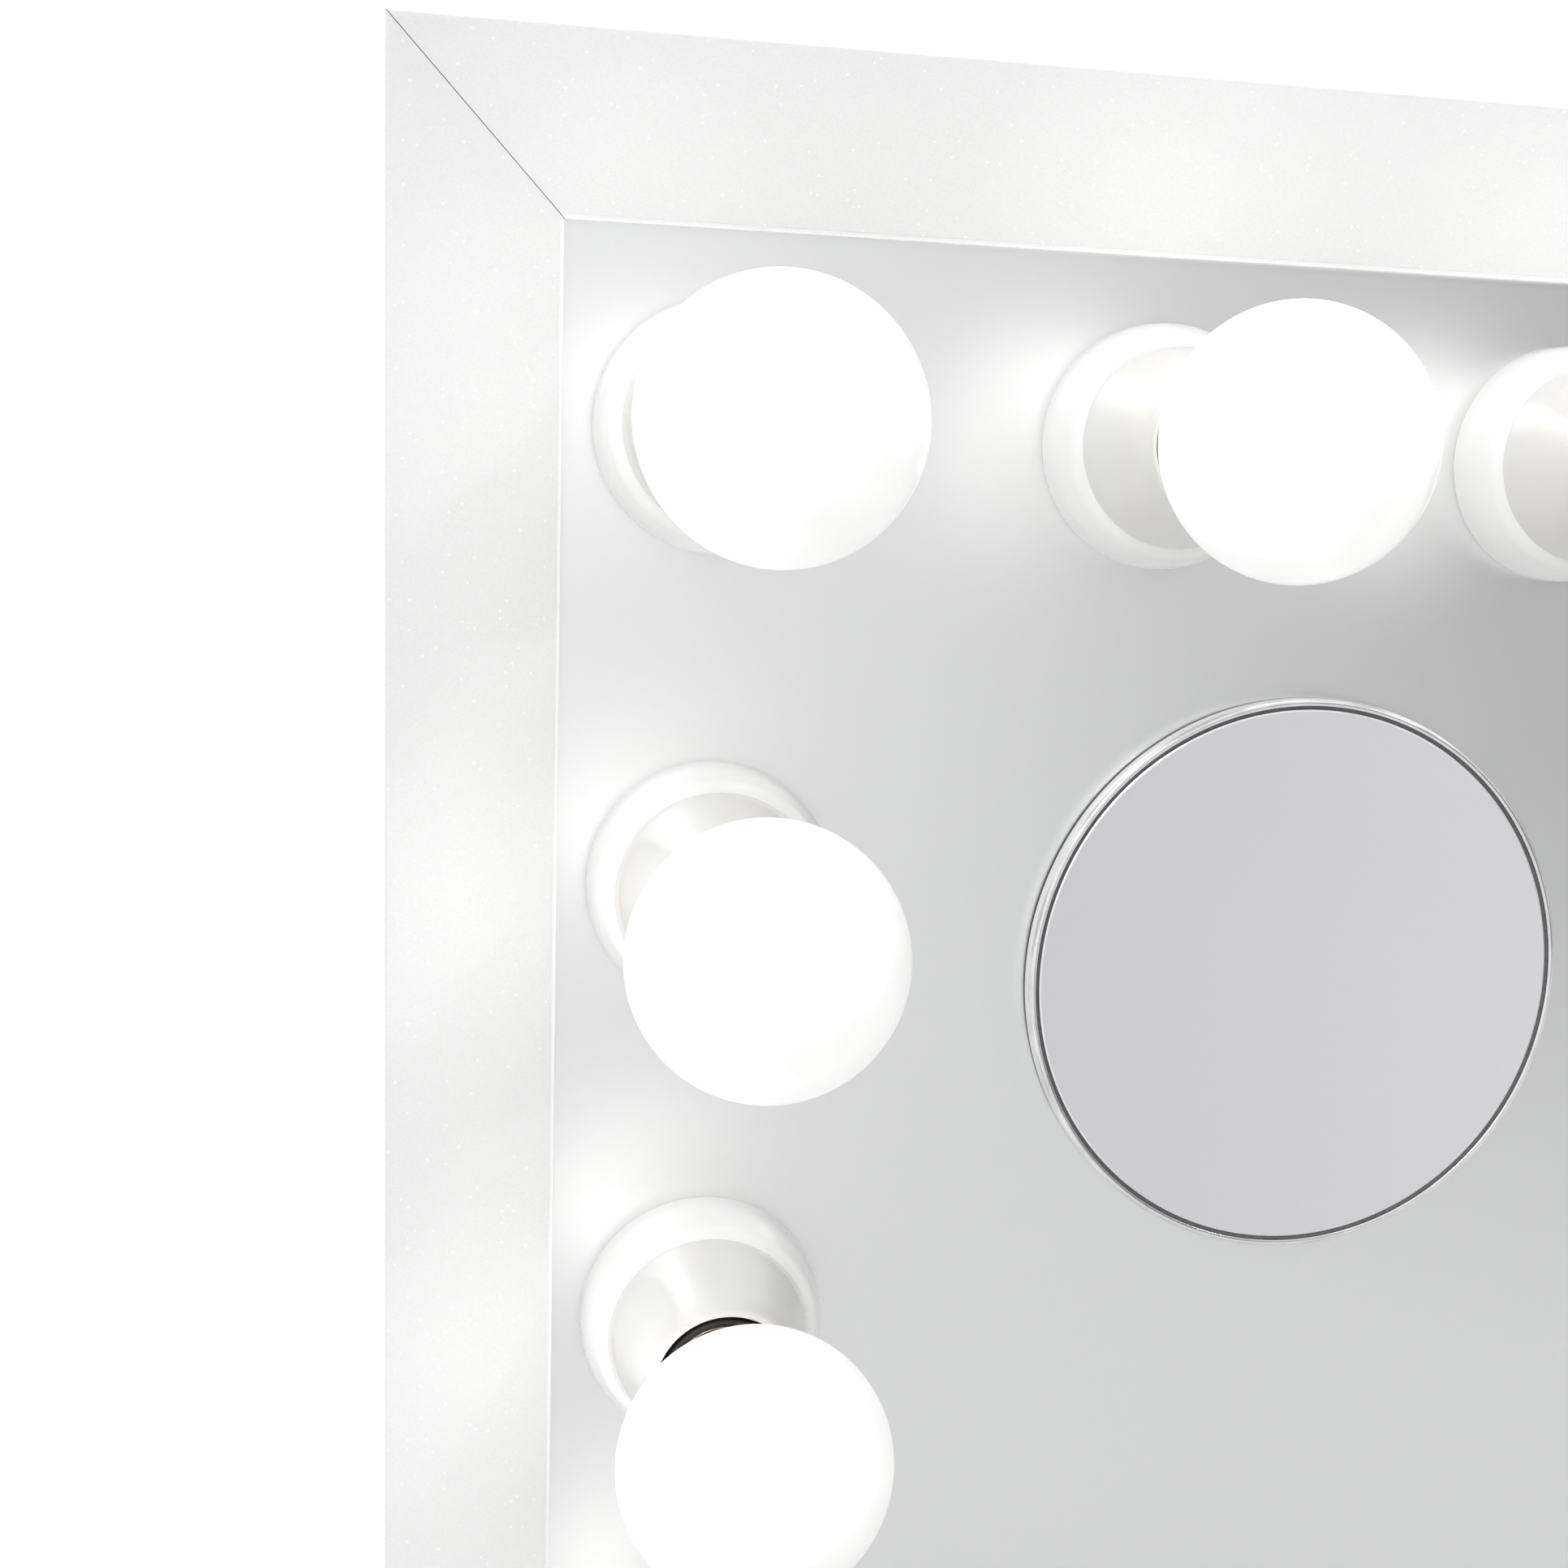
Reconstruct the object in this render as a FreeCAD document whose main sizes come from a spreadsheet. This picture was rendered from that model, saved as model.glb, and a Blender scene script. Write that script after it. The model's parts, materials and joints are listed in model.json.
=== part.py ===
"""Lighted vanity mirror: a mitred metal frame round a mirror glass, with screw lamps on three sides,
a clip-on magnifying mirror, a dimmer knob and two bar feet.

Row frame: +X to the viewer's right, the glass faces -Y, +Z up, origin at the middle of the footprint.
Every sub-part is drawn in the face frame and turned into the row frame by its node's Placement.
Face frame: x to the right from the middle, y up from the frame's lower edge, z out of the front face of
the glass towards the viewer, so whatever lies behind the glass has a negative z.
"""
import FreeCAD, Part
import math
import os
import re
import Sketcher

Vector = FreeCAD.Vector

SIZES = {
    # frame rails
    "frame_width": 770, "frame_height": 670, "rail_face": 44, "rail_front": 22, "rail_back": 38,
    "rail_wall": 1.6, "lip_rise": 2.3, "rear_flange": 14, "mitre_gap": 0.2, "rail_edge_radius": 1.0,
    # mirror glass, foam and board
    "glass_thick": 4, "glass_gap": 2, "foam_thick": 1.5, "foam_width": 12, "board_thick": 6,
    # lamp places
    "lamp_side_inset": 84.6, "lamp_top_inset": 94.2, "lamp_bottom_inset": 94.6,
    # lampholder
    "skirt_radius": 33, "skirt_side": 5, "skirt_height": 19, "skirt_wall": 1.8, "skirt_floor": 2,
    "shoulder_radius": 27, "husk_height": 54.6, "husk_gap": 1.4, "husk_wall": 1.6,
    "core_wall": 2.6, "core_floor": 6, "core_drop": 2.6,
    "nipple_radius": 5, "nipple_wall": 1.3, "nipple_tail": 7.5, "nut_across": 8, "nut_thick": 3,
    "washer_radius": 9, "washer_thick": 1,
    # lamp
    "globe_radius": 32.5, "globe_height": 103.7, "globe_wall": 1.5, "neck_step": 1.2,
    "cap_radius": 13, "cap_wall": 0.4, "cap_rim": 54, "cap_length": 23, "tip_length": 4,
    "shell_gap": 0.4, "shell_wall": 0.5, "contact_radius": 4, "contact_gap": 0.3,
    "led_board_radius": 12, "led_board_thick": 1.6,
    # magnifying mirror
    "lens_side_inset": 252.6, "lens_top_inset": 241.2, "lens_radius": 76.5, "lens_thick": 2,
    "lens_groove": 1.1, "rim_wall": 2, "rim_height": 5.5, "rim_gap": 1.2, "rim_proud": 0.5,
    "lens_back_thick": 1.5, "magnet_radius": 6, "magnet_circle": 20, "keeper_radius": 30,
    "keeper_thick": 1.05,
    # dimmer
    "dimmer_up": 74, "knob_radius": 13, "knob_height": 17, "knob_lift": 1, "knob_turned": 150,
    "shaft_radius": 3, "shaft_gap": 0.05, "bush_radius": 4.5, "bush_out": 4, "ring_nut_radius": 7,
    "ring_nut_thick": 2, "dimmer_wide": 34, "dimmer_tall": 40, "dimmer_deep": 14,
    # back of the case
    "cover_thick": 0.8, "cover_margin": 3, "screw_radius": 2, "screw_head": 3.8, "screw_head_thick": 2,
    "cover_screw_inset": 9, "vent_length": 44, "vent_width": 4, "vent_pitch": 9,
    "keyhole_spacing": 400, "keyhole_drop": 90, "keyhole_radius": 4.5, "keyslot_radius": 2.5,
    "keyslot_length": 9,
    "bracket_leg": 42, "bracket_wide": 16, "bracket_thick": 2, "clamp_leg": 12, "clamp_long": 24,
    "clamp_thick": 1.2,
    # mains side
    "inlet_side": 150, "inlet_up": 58, "inlet_wide": 27.6, "inlet_tall": 19.8, "inlet_deep": 20,
    "inlet_flange": 10, "inlet_flange_thick": 2.5, "recess_wide": 24.4, "recess_tall": 16.6,
    "recess_deep": 16, "pin_long": 14, "pin_wide": 4, "pin_thick": 2, "pin_spacing": 7,
    "block_side": 80, "block_up": 40, "block_wide": 44, "block_tall": 18, "block_deep": 14,
    "loom_radius": 3, "tail_radius": 1.8, "loom_offset": 22, "loom_drop": 14, "loom_bend": 20,
    "loom_low": 40,
    "clip_wide": 10, "clip_wall": 2,
    # feet
    "foot_side": 230, "foot_wide": 30, "foot_thick": 5, "foot_front": 95, "foot_back": 75,
    "pad_long": 32, "pad_wide": 26, "pad_thick": 2, "pad_inset": 4,
}
LAMPS_ACROSS = 6
LAMPS_DOWN = 4
VENTS = 9
FIT = 0.05

# Places that several sub-parts share, written in the sheet's names.
LAMP_X = "(frame_width / 2 - lamp_side_inset)"
LAMP_TOP = "(frame_height - lamp_top_inset)"
LAMP_STEP = f"(2 * {LAMP_X} / {LAMPS_ACROSS - 1})"
LAMP_DROP = f"(({LAMP_TOP} - lamp_bottom_inset) / {LAMPS_DOWN})"
GLASS_SIDE = "(frame_width / 2 - rail_wall - glass_gap)"
GLASS_LOW = "(rail_wall + glass_gap)"
GLASS_TALL = "(frame_height - 2 * rail_wall - 2 * glass_gap)"
BOARD_FRONT = "(-glass_thick - foam_thick)"
BOARD_BACK = "(-glass_thick - foam_thick - board_thick)"
LOOM_Z = f"({BOARD_BACK} - loom_drop)"
SHELL_RADIUS = "(cap_radius + shell_gap)"
CORE_BORE = f"({SHELL_RADIUS} + shell_wall)"
CORE_RADIUS = f"({CORE_BORE} + core_wall)"
MOUTH_RADIUS = f"({CORE_RADIUS} + husk_gap + husk_wall)"
NECK_RADIUS = "(cap_radius + neck_step)"
CORE_LOW = "(skirt_height - 7)"
TIP_Z = "(cap_rim - cap_length - tip_length)"
LENS_X = "(lens_side_inset - frame_width / 2)"
LENS_Y = "(frame_height - lens_top_inset)"
GLASS_DEPTH = "((globe_height + globe_radius - foot_back) / 2)"
BASE_HEIGHT = "(foot_thick + pad_thick)"

doc = FreeCAD.newDocument("lighted_vanity_mirror")
sheet = doc.addObject("Spreadsheet::Sheet", "dims")
nodes = []


def fill_sheet():
    for row, (alias, value) in enumerate(SIZES.items(), start=1):
        sheet.set(f"A{row}", alias)
        sheet.set(f"B{row}", str(value))
        sheet.setAlias(f"B{row}", alias)
    doc.recompute()


def size(alias):
    return float(sheet.get(alias))


def bound(text):
    """An expression in the sheet's names, as FreeCAD reads it."""
    return re.sub(r"[a-z]\w*", lambda word: "dims." + word[0] if word[0] in SIZES else word[0], str(text))


def bind(thing, **values):
    for name, text in values.items():
        thing.setExpression(name, bound(text))
    return thing


def put(thing, x=0, y=0, z=0, turn=None):
    """Place a piece by three expressions, turned first where the piece needs it."""
    if turn:
        thing.Placement = FreeCAD.Placement(Vector(), FreeCAD.Rotation(Vector(*turn[0]), turn[1]))
    for axis, text in zip("xyz", (x, y, z)):
        thing.setExpression("Placement.Base." + axis, bound(text))
    return thing


def box(wide, tall, deep, x, y, z):
    """A block from its low corner; z is its back face."""
    block = doc.addObject("Part::Box", "block")
    bind(block, Length=wide, Width=tall, Height=deep)
    return put(block, x, y, z)


def slab(wide, tall, deep, x, y, z):
    """A block centred on x and y; z is its back face."""
    return box(wide, tall, deep, f"{x} - ({wide}) / 2", f"{y} - ({tall}) / 2", z)


def rod(radius, length, x=0, y=0, z=0, turn=None):
    cylinder = doc.addObject("Part::Cylinder", "rod")
    bind(cylinder, Radius=radius, Height=length)
    return put(cylinder, x, y, z, turn)


def ball(radius, z):
    sphere = doc.addObject("Part::Sphere", "ball")
    bind(sphere, Radius=radius)
    return put(sphere, 0, 0, z)


def fuse(*pieces):
    joined = doc.addObject("Part::MultiFuse", "joined")
    joined.Shapes = list(pieces)
    return joined


def cut(base, *tools):
    result = doc.addObject("Part::Cut", "cut")
    result.Base = base
    result.Tool = tools[0] if len(tools) == 1 else group(tools)
    return result


def group(pieces):
    together = doc.addObject("Part::Compound", "pieces")
    together.Links = list(pieces)
    return together


def tube(outer, inner, length, x=0, y=0, z=0):
    return cut(rod(outer, length, x, y, z), rod(inner, length, x, y, z))


def copies(master, places):
    """The same piece at each place, as links."""
    links = []
    for place in places:
        link = doc.addObject("App::Link", "copy")
        link.LinkedObject = master
        link.LinkTransform = True
        links.append(put(link, *place))
    return links


def plane(body, role):
    return next(item for item in body.Origin.OriginFeatures if item.Role == role)


def outline(body, role, points, name="outline"):
    """A closed sketch with straight sides; every corner is held by two driven distances."""
    sketch = body.newObject("Sketcher::SketchObject", name)
    sketch.AttachmentSupport = [(plane(body, role), "")]
    sketch.MapMode = "FlatFace"
    add_loop(sketch, points)
    return sketch


def add_loop(sketch, points):
    count = len(points)
    first = sketch.GeometryCount
    start = [Vector(math.cos(math.tau * i / count), math.sin(math.tau * i / count)) for i in range(count)]
    for i in range(count):
        sketch.addGeometry(Part.LineSegment(start[i], start[(i + 1) % count]), False)
    for i in range(count):
        sketch.addConstraint(Sketcher.Constraint("Coincident", first + i, 2, first + (i + 1) % count, 1))
    for i, corner in enumerate(points):
        for kind, text, value in zip(("DistanceX", "DistanceY"), corner, start[i]):
            index = sketch.addConstraint(Sketcher.Constraint(kind, -1, 1, first + i, 1, value))
            sketch.setExpression(f"Constraints[{index}]", bound(text))


def new_body(name):
    return doc.addObject("PartDesign::Body", name)


def turned(name, points):
    """A body of revolution about its own Z axis, from (radius, height) corners."""
    body = new_body(name)
    sketch = outline(body, "XZ_Plane", points)
    revolved = body.newObject("PartDesign::Revolution", "turned")
    revolved.Profile = sketch
    revolved.ReferenceAxis = (plane(body, "Z_Axis"), [""])
    revolved.Angle = 360
    doc.recompute()
    return body


def padded(name, role, points, length, both_ways=False):
    """A body that is an outline drawn out by a length."""
    body = new_body(name)
    sketch = outline(body, role, points)
    pad = body.newObject("PartDesign::Pad", "drawn")
    pad.Profile = sketch
    pad.SideType = "Symmetric" if both_ways else "One side"
    bind(pad, Length=length)
    doc.recompute()
    return body


def round_edges(body, radius, chosen):
    """Round the edges of the body's tip that the test picks."""
    tip = body.Tip
    names = [f"Edge{i}" for i, edge in enumerate(tip.Shape.Edges, start=1) if chosen(edge)]
    fillet = body.newObject("PartDesign::Fillet", "rounded")
    fillet.Base = (tip, names)
    bind(fillet, Radius=radius)
    doc.recompute()


def node(label, *pieces):
    """A named sub-part: its pieces, turned from the face frame into the row frame."""
    part = group(pieces)
    part.Label = label
    put(part, 0, GLASS_DEPTH, BASE_HEIGHT, ((1, 0, 0), 90))
    nodes.append(part)
    return part


def polar(radius, part_turn):
    """A point on a circle, as two expressions."""
    angle = math.tau * part_turn
    return f"{radius} * {math.cos(angle):.6f}", f"{radius} * {math.sin(angle):.6f}"


def lamp_places():
    """Lamp axes as (x, y), up the left side, across the top and down the right side."""
    left = [(f"-{LAMP_X}", f"{LAMP_TOP} - {i} * {LAMP_DROP}") for i in range(LAMPS_DOWN, 0, -1)]
    top = [(f"-{LAMP_X} + {i} * {LAMP_STEP}", LAMP_TOP) for i in range(LAMPS_ACROSS)]
    right = [(LAMP_X, f"{LAMP_TOP} - {i} * {LAMP_DROP}") for i in range(1, LAMPS_DOWN + 1)]
    return left + top + right


# ---- frame -------------------------------------------------------------------------------------------

def rail(name, length):
    """A hollow rail whose outer side lies at local y = 0, mitred at both ends.

    The face slopes down from the outer edge to the lip; a web behind it seats on the glass.
    """
    body = new_body(name)
    profile = outline(body, "YZ_Plane", [
        ("0", "rail_front"), ("-rail_face", "lip_rise"), ("-rail_face", "0"), ("-rail_wall", "0"),
        ("-rail_wall", "rail_wall - rail_back"), ("-rear_flange", "rail_wall - rail_back"),
        ("-rear_flange", "-rail_back"), ("0", "-rail_back")])
    add_loop(profile, [
        ("-rail_wall", "rail_wall"), ("-rail_wall", "rail_front - 2 * rail_wall"),
        ("-rail_face * 0.86", "rail_wall")])
    pad = body.newObject("PartDesign::Pad", "drawn")
    pad.Profile = profile
    pad.SideType = "Symmetric"
    bind(pad, Length=length)
    doc.recompute()
    outer_edge = Vector(0, 0, size("rail_front"))
    round_edges(body, "rail_edge_radius", lambda edge: runs_along_x(edge, outer_edge))
    full = body.Shape.Volume
    end = f"({length}) / 2 - mitre_gap / 2"
    deep = "(rail_face + 4)"
    ends = outline(body, "XY_Plane", [(f"{end}", "1"), (f"({length}) / 2 + 1", "1"),
                                      (f"({length}) / 2 + 1", f"-{deep}"), (f"{end} - {deep}", f"-{deep}"),
                                      (f"{end}", "0")], "mitres")
    add_loop(ends, [(f"-({end})", "1"), (f"-({length}) / 2 - 1", "1"),
                    (f"-({length}) / 2 - 1", f"-{deep}"), (f"-({end}) + {deep}", f"-{deep}"),
                    (f"-({end})", "0")])
    mitre = body.newObject("PartDesign::Pocket", "mitred")
    mitre.Profile = ends
    mitre.Type = "ThroughAll"
    mitre.SideType = "Symmetric"
    doc.recompute()
    if not 0.8 * full < body.Shape.Volume < full:
        raise RuntimeError(f"{name}: the mitres took the wrong amount off")
    return body


def runs_along_x(edge, through):
    start, end = edge.Vertexes[0].Point, edge.Vertexes[-1].Point
    level = abs(start.y - through.y) < 1e-3 and abs(start.z - through.z) < 1e-3
    return level and abs(end.x - start.x) > 10 and abs(end.z - through.z) < 1e-3


def make_frame():
    upright = ((0, 0, 1), 90)
    node("frame_top_rail", put(rail("top_rail", "frame_width"), 0, "frame_height"))
    node("frame_bottom_rail", put(rail("bottom_rail", "frame_width"), turn=((0, 0, 1), 180)))
    node("frame_left_stile",
         put(rail("left_stile", "frame_height"), "-frame_width / 2", "frame_height / 2", 0, upright))
    node("frame_right_stile",
         put(rail("right_stile", "frame_height"), "frame_width / 2", "frame_height / 2", 0,
             ((0, 0, 1), -90)))


def make_corner_brackets():
    """An angle in each corner, screwed to the side walls from inside."""
    brackets = []
    screws = []
    side = "(frame_width / 2 - rail_wall)"
    back = f"{BOARD_BACK} - 2 - bracket_wide"
    for x_sign in (-1, 1):
        for low in (True, False):
            corner_y = "rail_wall" if low else "frame_height - rail_wall"
            up = 1 if low else -1
            angle = padded("bracket", "XY_Plane", [
                (f"{x_sign} * {side}", corner_y),
                (f"{x_sign} * ({side} - bracket_leg)", corner_y),
                (f"{x_sign} * ({side} - bracket_leg)", f"{corner_y} + {up} * bracket_thick"),
                (f"{x_sign} * ({side} - bracket_thick)", f"{corner_y} + {up} * bracket_thick"),
                (f"{x_sign} * ({side} - bracket_thick)", f"{corner_y} + {up} * bracket_leg"),
                (f"{x_sign} * {side}", f"{corner_y} + {up} * bracket_leg")], "bracket_wide")
            brackets.append(put(angle, 0, 0, back))
            middle = f"{back} + bracket_wide / 2"
            head = ("screw_head", "screw_head_thick")
            screws.append(rod(*head, f"{x_sign} * ({side} - bracket_thick)",
                              f"{corner_y} + {up} * bracket_leg * 0.7", middle, ((0, 1, 0), -90 * x_sign)))
            screws.append(rod(*head, f"{x_sign} * ({side} - bracket_leg * 0.7)",
                              f"{corner_y} + {up} * bracket_thick", middle, ((1, 0, 0), -90 * up)))
    node("corner_brackets", *brackets)
    node("corner_screws", *screws)


# ---- glass and board ---------------------------------------------------------------------------------

def lamp_holes(thick, back):
    places = lamp_places()
    holes = [rod(f"nipple_radius + {4 * FIT}", f"{thick} + 2", x, y, f"{back} - 1") for x, y in places]
    return holes + [rod(f"bush_radius + {4 * FIT}", f"{thick} + 2", 0, "dimmer_up", f"{back} - 1")]


def make_glass_and_board():
    """The glass lies against the frame's web, with foam and a board behind it."""
    wide = f"2 * {GLASS_SIDE}"
    glass = box(wide, GLASS_TALL, "glass_thick", f"-{GLASS_SIDE}", GLASS_LOW, "-glass_thick")
    node("mirror_glass", cut(glass, *lamp_holes("glass_thick", "-glass_thick")))
    board = box(wide, GLASS_TALL, "board_thick", f"-{GLASS_SIDE}", GLASS_LOW, BOARD_BACK)
    node("backing_board", cut(board, *lamp_holes("board_thick", BOARD_BACK)))
    across = (wide, "foam_width", "foam_thick", f"-{GLASS_SIDE}")
    tall = ("foam_width", f"{GLASS_TALL} - 2 * foam_width", "foam_thick")
    node("glass_foam_tape",
         box(*across, GLASS_LOW, BOARD_FRONT),
         box(*across, f"{GLASS_LOW} + {GLASS_TALL} - foam_width", BOARD_FRONT),
         box(*tall, f"-{GLASS_SIDE}", f"{GLASS_LOW} + foam_width", BOARD_FRONT),
         box(*tall, f"{GLASS_SIDE} - foam_width", f"{GLASS_LOW} + foam_width", BOARD_FRONT))


def clamp():
    """A small angle that presses the board forward; its upright leg is on the side wall at y = 0."""
    return padded("clamp", "YZ_Plane", [
        ("0", "0"), ("clamp_leg", "0"), ("clamp_leg", "-clamp_thick"), ("clamp_thick", "-clamp_thick"),
        ("clamp_thick", "-clamp_leg"), ("0", "-clamp_leg")], "clamp_long", both_ways=True)


def make_board_clamps():
    master = clamp()
    back = BOARD_BACK
    links = []
    for x in ("-frame_width / 5", "frame_width / 5"):
        links.append((x, "rail_wall", back, ((0, 0, 1), 0.0)))
        links.append((x, "frame_height - rail_wall", back, ((0, 0, 1), 180)))
    for y in ("frame_height * 0.3", "frame_height * 0.7"):
        links.append(("-frame_width / 2 + rail_wall", y, back, ((0, 0, 1), -90)))
        links.append(("frame_width / 2 - rail_wall", y, back, ((0, 0, 1), 90)))
    node("board_clamps", *copies(master, links))


# ---- lampholders -------------------------------------------------------------------------------------

def make_lampholders():
    """Every holder: a skirt on the glass, a bell above it, a core with a screw shell, a hollow nipple."""
    places = [(x, y, 0) for x, y in lamp_places()]
    floor_top = CORE_LOW
    floor_low = f"({CORE_LOW} - skirt_floor)"
    hole = f"(nipple_radius + {FIT})"
    inside = "(shoulder_radius - skirt_wall)"
    skirt = turned("skirt", [
        (hole, floor_low), ("skirt_radius - skirt_wall", floor_low), ("skirt_radius - skirt_wall", "0"),
        ("skirt_radius", "0"), ("skirt_radius", "skirt_side"),
        ("skirt_radius - 1.5", "skirt_side + 0.55 * (skirt_height - skirt_side)"),
        ("shoulder_radius", "skirt_height"), (inside, "skirt_height"), (inside, floor_top),
        (hole, floor_top)])
    husk = turned("husk", [
        ("shoulder_radius", "skirt_height"), (MOUTH_RADIUS, "husk_height - 1"),
        (f"{MOUTH_RADIUS} - 0.6", "husk_height"), (f"{MOUTH_RADIUS} - husk_wall", "husk_height"),
        ("shoulder_radius - husk_wall", "skirt_height")])
    core_top = "(husk_height - core_drop)"
    core = turned("core", [
        (hole, floor_top), (CORE_RADIUS, floor_top), (CORE_RADIUS, core_top), (CORE_BORE, core_top),
        (CORE_BORE, f"{CORE_LOW} + core_floor"), (hole, f"{CORE_LOW} + core_floor")])
    shell_low = "(cap_rim - cap_length - 4)"
    shell = tube(CORE_BORE, SHELL_RADIUS, f"{core_top} - 3 - {shell_low}", 0, 0, shell_low)
    contact_low = f"({CORE_LOW} + core_floor)"
    contact = rod("contact_radius + 2", f"{TIP_Z} - contact_gap - {contact_low}", 0, 0, contact_low)
    nipple_low = f"({BOARD_BACK} - nipple_tail)"
    nipple = tube("nipple_radius", "nipple_radius - nipple_wall", f"{contact_low} - {nipple_low}", 0, 0,
                  nipple_low)
    washer = tube("washer_radius", hole, "washer_thick", 0, 0, f"{BOARD_BACK} - washer_thick")
    node("holder_skirts", *copies(skirt, places))
    node("holder_husks", *copies(husk, places))
    node("socket_cores", *copies(core, places))
    node("socket_shells", *copies(shell, places))
    node("socket_contacts", *copies(contact, places))
    node("socket_nipples", *copies(nipple, places))
    node("socket_washers", *copies(washer, places))
    node("socket_locknuts", *copies(locknut(hole), places))


def locknut(hole):
    """A hexagon nut behind the washer."""
    points = [polar("nut_across", i / 6) for i in range(6)]
    blank = padded("locknut", "XY_Plane", points, "nut_thick")
    back = f"{BOARD_BACK} - washer_thick - nut_thick"
    return cut(put(blank, 0, 0, back), rod(hole, "nut_thick + 2", 0, 0, f"{back} - 1"))


# ---- lamps -------------------------------------------------------------------------------------------

def make_bulbs():
    """Every lamp: an opal globe with its neck, a board of light sources, a screw cap and its tip."""
    neck_top = "(globe_height - globe_radius + globe_wall + 6)"
    outer = fuse(ball("globe_radius", "globe_height"),
                 rod(NECK_RADIUS, f"{neck_top} - cap_rim", 0, 0, "cap_rim"))
    inner = fuse(ball("globe_radius - globe_wall", "globe_height"),
                 rod(f"{NECK_RADIUS} - globe_wall", f"{neck_top} - cap_rim + 1", 0, 0, "cap_rim - 1"))
    globe = cut(outer, inner)
    board = rod("led_board_radius", "led_board_thick", 0, 0, "cap_rim + 3")
    cap_low = "(cap_rim - cap_length)"
    cap = tube("cap_radius", "cap_radius - cap_wall", "cap_length", 0, 0, cap_low)
    stem = rod("cap_radius - cap_wall", "3 - 1", 0, 0, "cap_rim - 2")
    pillar = rod("cap_radius - 5", "3", 0, 0, "cap_rim")
    cone = turned("cap_insulator", [
        ("0", f"{TIP_Z} + 1"), ("contact_radius + 1", f"{TIP_Z} + 1"), ("cap_radius - 1", cap_low),
        ("0", cap_low)])
    tip = rod("contact_radius", "1", 0, 0, TIP_Z)
    master = group([globe, board, cap, stem, pillar, cone, tip])
    for number, (x, y) in enumerate(lamp_places(), start=1):
        node(f"bulb_{number:02d}", *copies(master, [(x, y, 0)]))


# ---- magnifying mirror -------------------------------------------------------------------------------

def make_magnifier():
    """A round magnifying mirror that magnets hold to a steel keeper on the glass."""
    rim_radius = "(lens_radius + lens_groove + rim_wall)"
    seat = "(lens_radius + lens_groove)"
    front = "(rim_gap + rim_height)"
    lens_front = f"({front} - rim_proud)"
    rim = tube(rim_radius, seat, "rim_height", LENS_X, LENS_Y, "rim_gap")
    node("magnifier_rim", rim)
    lens = rod("lens_radius", "lens_thick", LENS_X, LENS_Y, f"{lens_front} - lens_thick")
    node("magnifier_glass", lens)
    back_front = f"({lens_front} - lens_thick)"
    places = [(f"{LENS_X} + {x}", f"{LENS_Y} + {y}")
              for x, y in (polar("magnet_circle", i / 3) for i in range(3))]
    holes = [rod(f"magnet_radius + {FIT}", "lens_back_thick + 1", x, y, "rim_gap - 1") for x, y in places]
    dish = rod(seat, f"{back_front} - rim_gap", LENS_X, LENS_Y, "rim_gap")
    node("magnifier_back", cut(dish, *holes))
    node("magnifier_magnets",
         *[rod("magnet_radius", "lens_back_thick", x, y, "rim_gap") for x, y in places])
    node("magnifier_keeper", rod("keeper_radius", "keeper_thick", LENS_X, LENS_Y, 0))


# ---- dimmer ------------------------------------------------------------------------------------------

def make_dimmer():
    """The dimmer's body sits behind the board; its bush comes through the glass and carries the knob."""
    at = (0, "dimmer_up")
    body = slab("dimmer_wide", "dimmer_tall", "dimmer_deep", *at, f"{BOARD_BACK} - dimmer_deep")
    node("dimmer_body", cut(body, rod("shaft_radius + 1", "4", *at, f"{BOARD_BACK} - 3")))
    bore = "shaft_radius + shaft_gap"
    node("dimmer_bush", tube("bush_radius", bore, f"bush_out - {BOARD_BACK}", *at, BOARD_BACK))
    ring = f"bush_radius + {FIT}"
    node("dimmer_ring_nut", tube("ring_nut_radius", ring, "ring_nut_thick", *at, 1))
    node("dimmer_washer", tube("ring_nut_radius + 1.5", ring, "1", *at, 0))
    blank = turned("knob_blank", [
        ("0", "bush_out + 1"), ("knob_radius - 3", "bush_out + 1"), ("knob_radius - 3", "knob_lift"),
        ("knob_radius", "knob_lift"), ("knob_radius - 1.2", "knob_height - 1.5"),
        ("knob_radius - 2.7", "knob_height"), ("0", "knob_height")])
    knob = cut(put(blank, *at, 0), rod("shaft_radius", "9", *at, "bush_out"))
    node("dimmer_knob", knob)
    shaft = rod("shaft_radius", f"bush_out + 9 - {BOARD_BACK} + 2", *at, f"{BOARD_BACK} - 2")
    node("dimmer_shaft", shaft)
    mark = slab("1.6", "knob_radius * 0.55", "0.4", "0", "knob_radius * 0.5", "knob_height")
    holder = group([mark])
    node("knob_mark", put(holder, *at, 0, ((0, 0, 1), -size("knob_turned"))))


# ---- back cover --------------------------------------------------------------------------------------

def keyhole(x, y):
    """A round hole with a narrower slot above it, for hanging on a screw head."""
    deep = "cover_thick + 2"
    low = "-rail_back - cover_thick - 1"
    return [rod("keyhole_radius", deep, x, y, low),
            rod("keyslot_radius", deep, x, f"{y} + keyslot_length", low),
            slab("2 * keyslot_radius", "keyslot_length", deep, x, f"{y} + keyslot_length / 2", low)]


def cover_screw_places():
    near_x = "(frame_width / 2 - cover_screw_inset)"
    top = "(frame_height - cover_screw_inset)"
    places = [(f"{k} * {near_x}", y) for k in (-0.9, -0.3, 0.3, 0.9) for y in ("cover_screw_inset", top)]
    places += [(f"{sign} * {near_x}", f"frame_height * {k}") for sign in (-1, 1) for k in (0.3, 0.7)]
    return places


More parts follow.
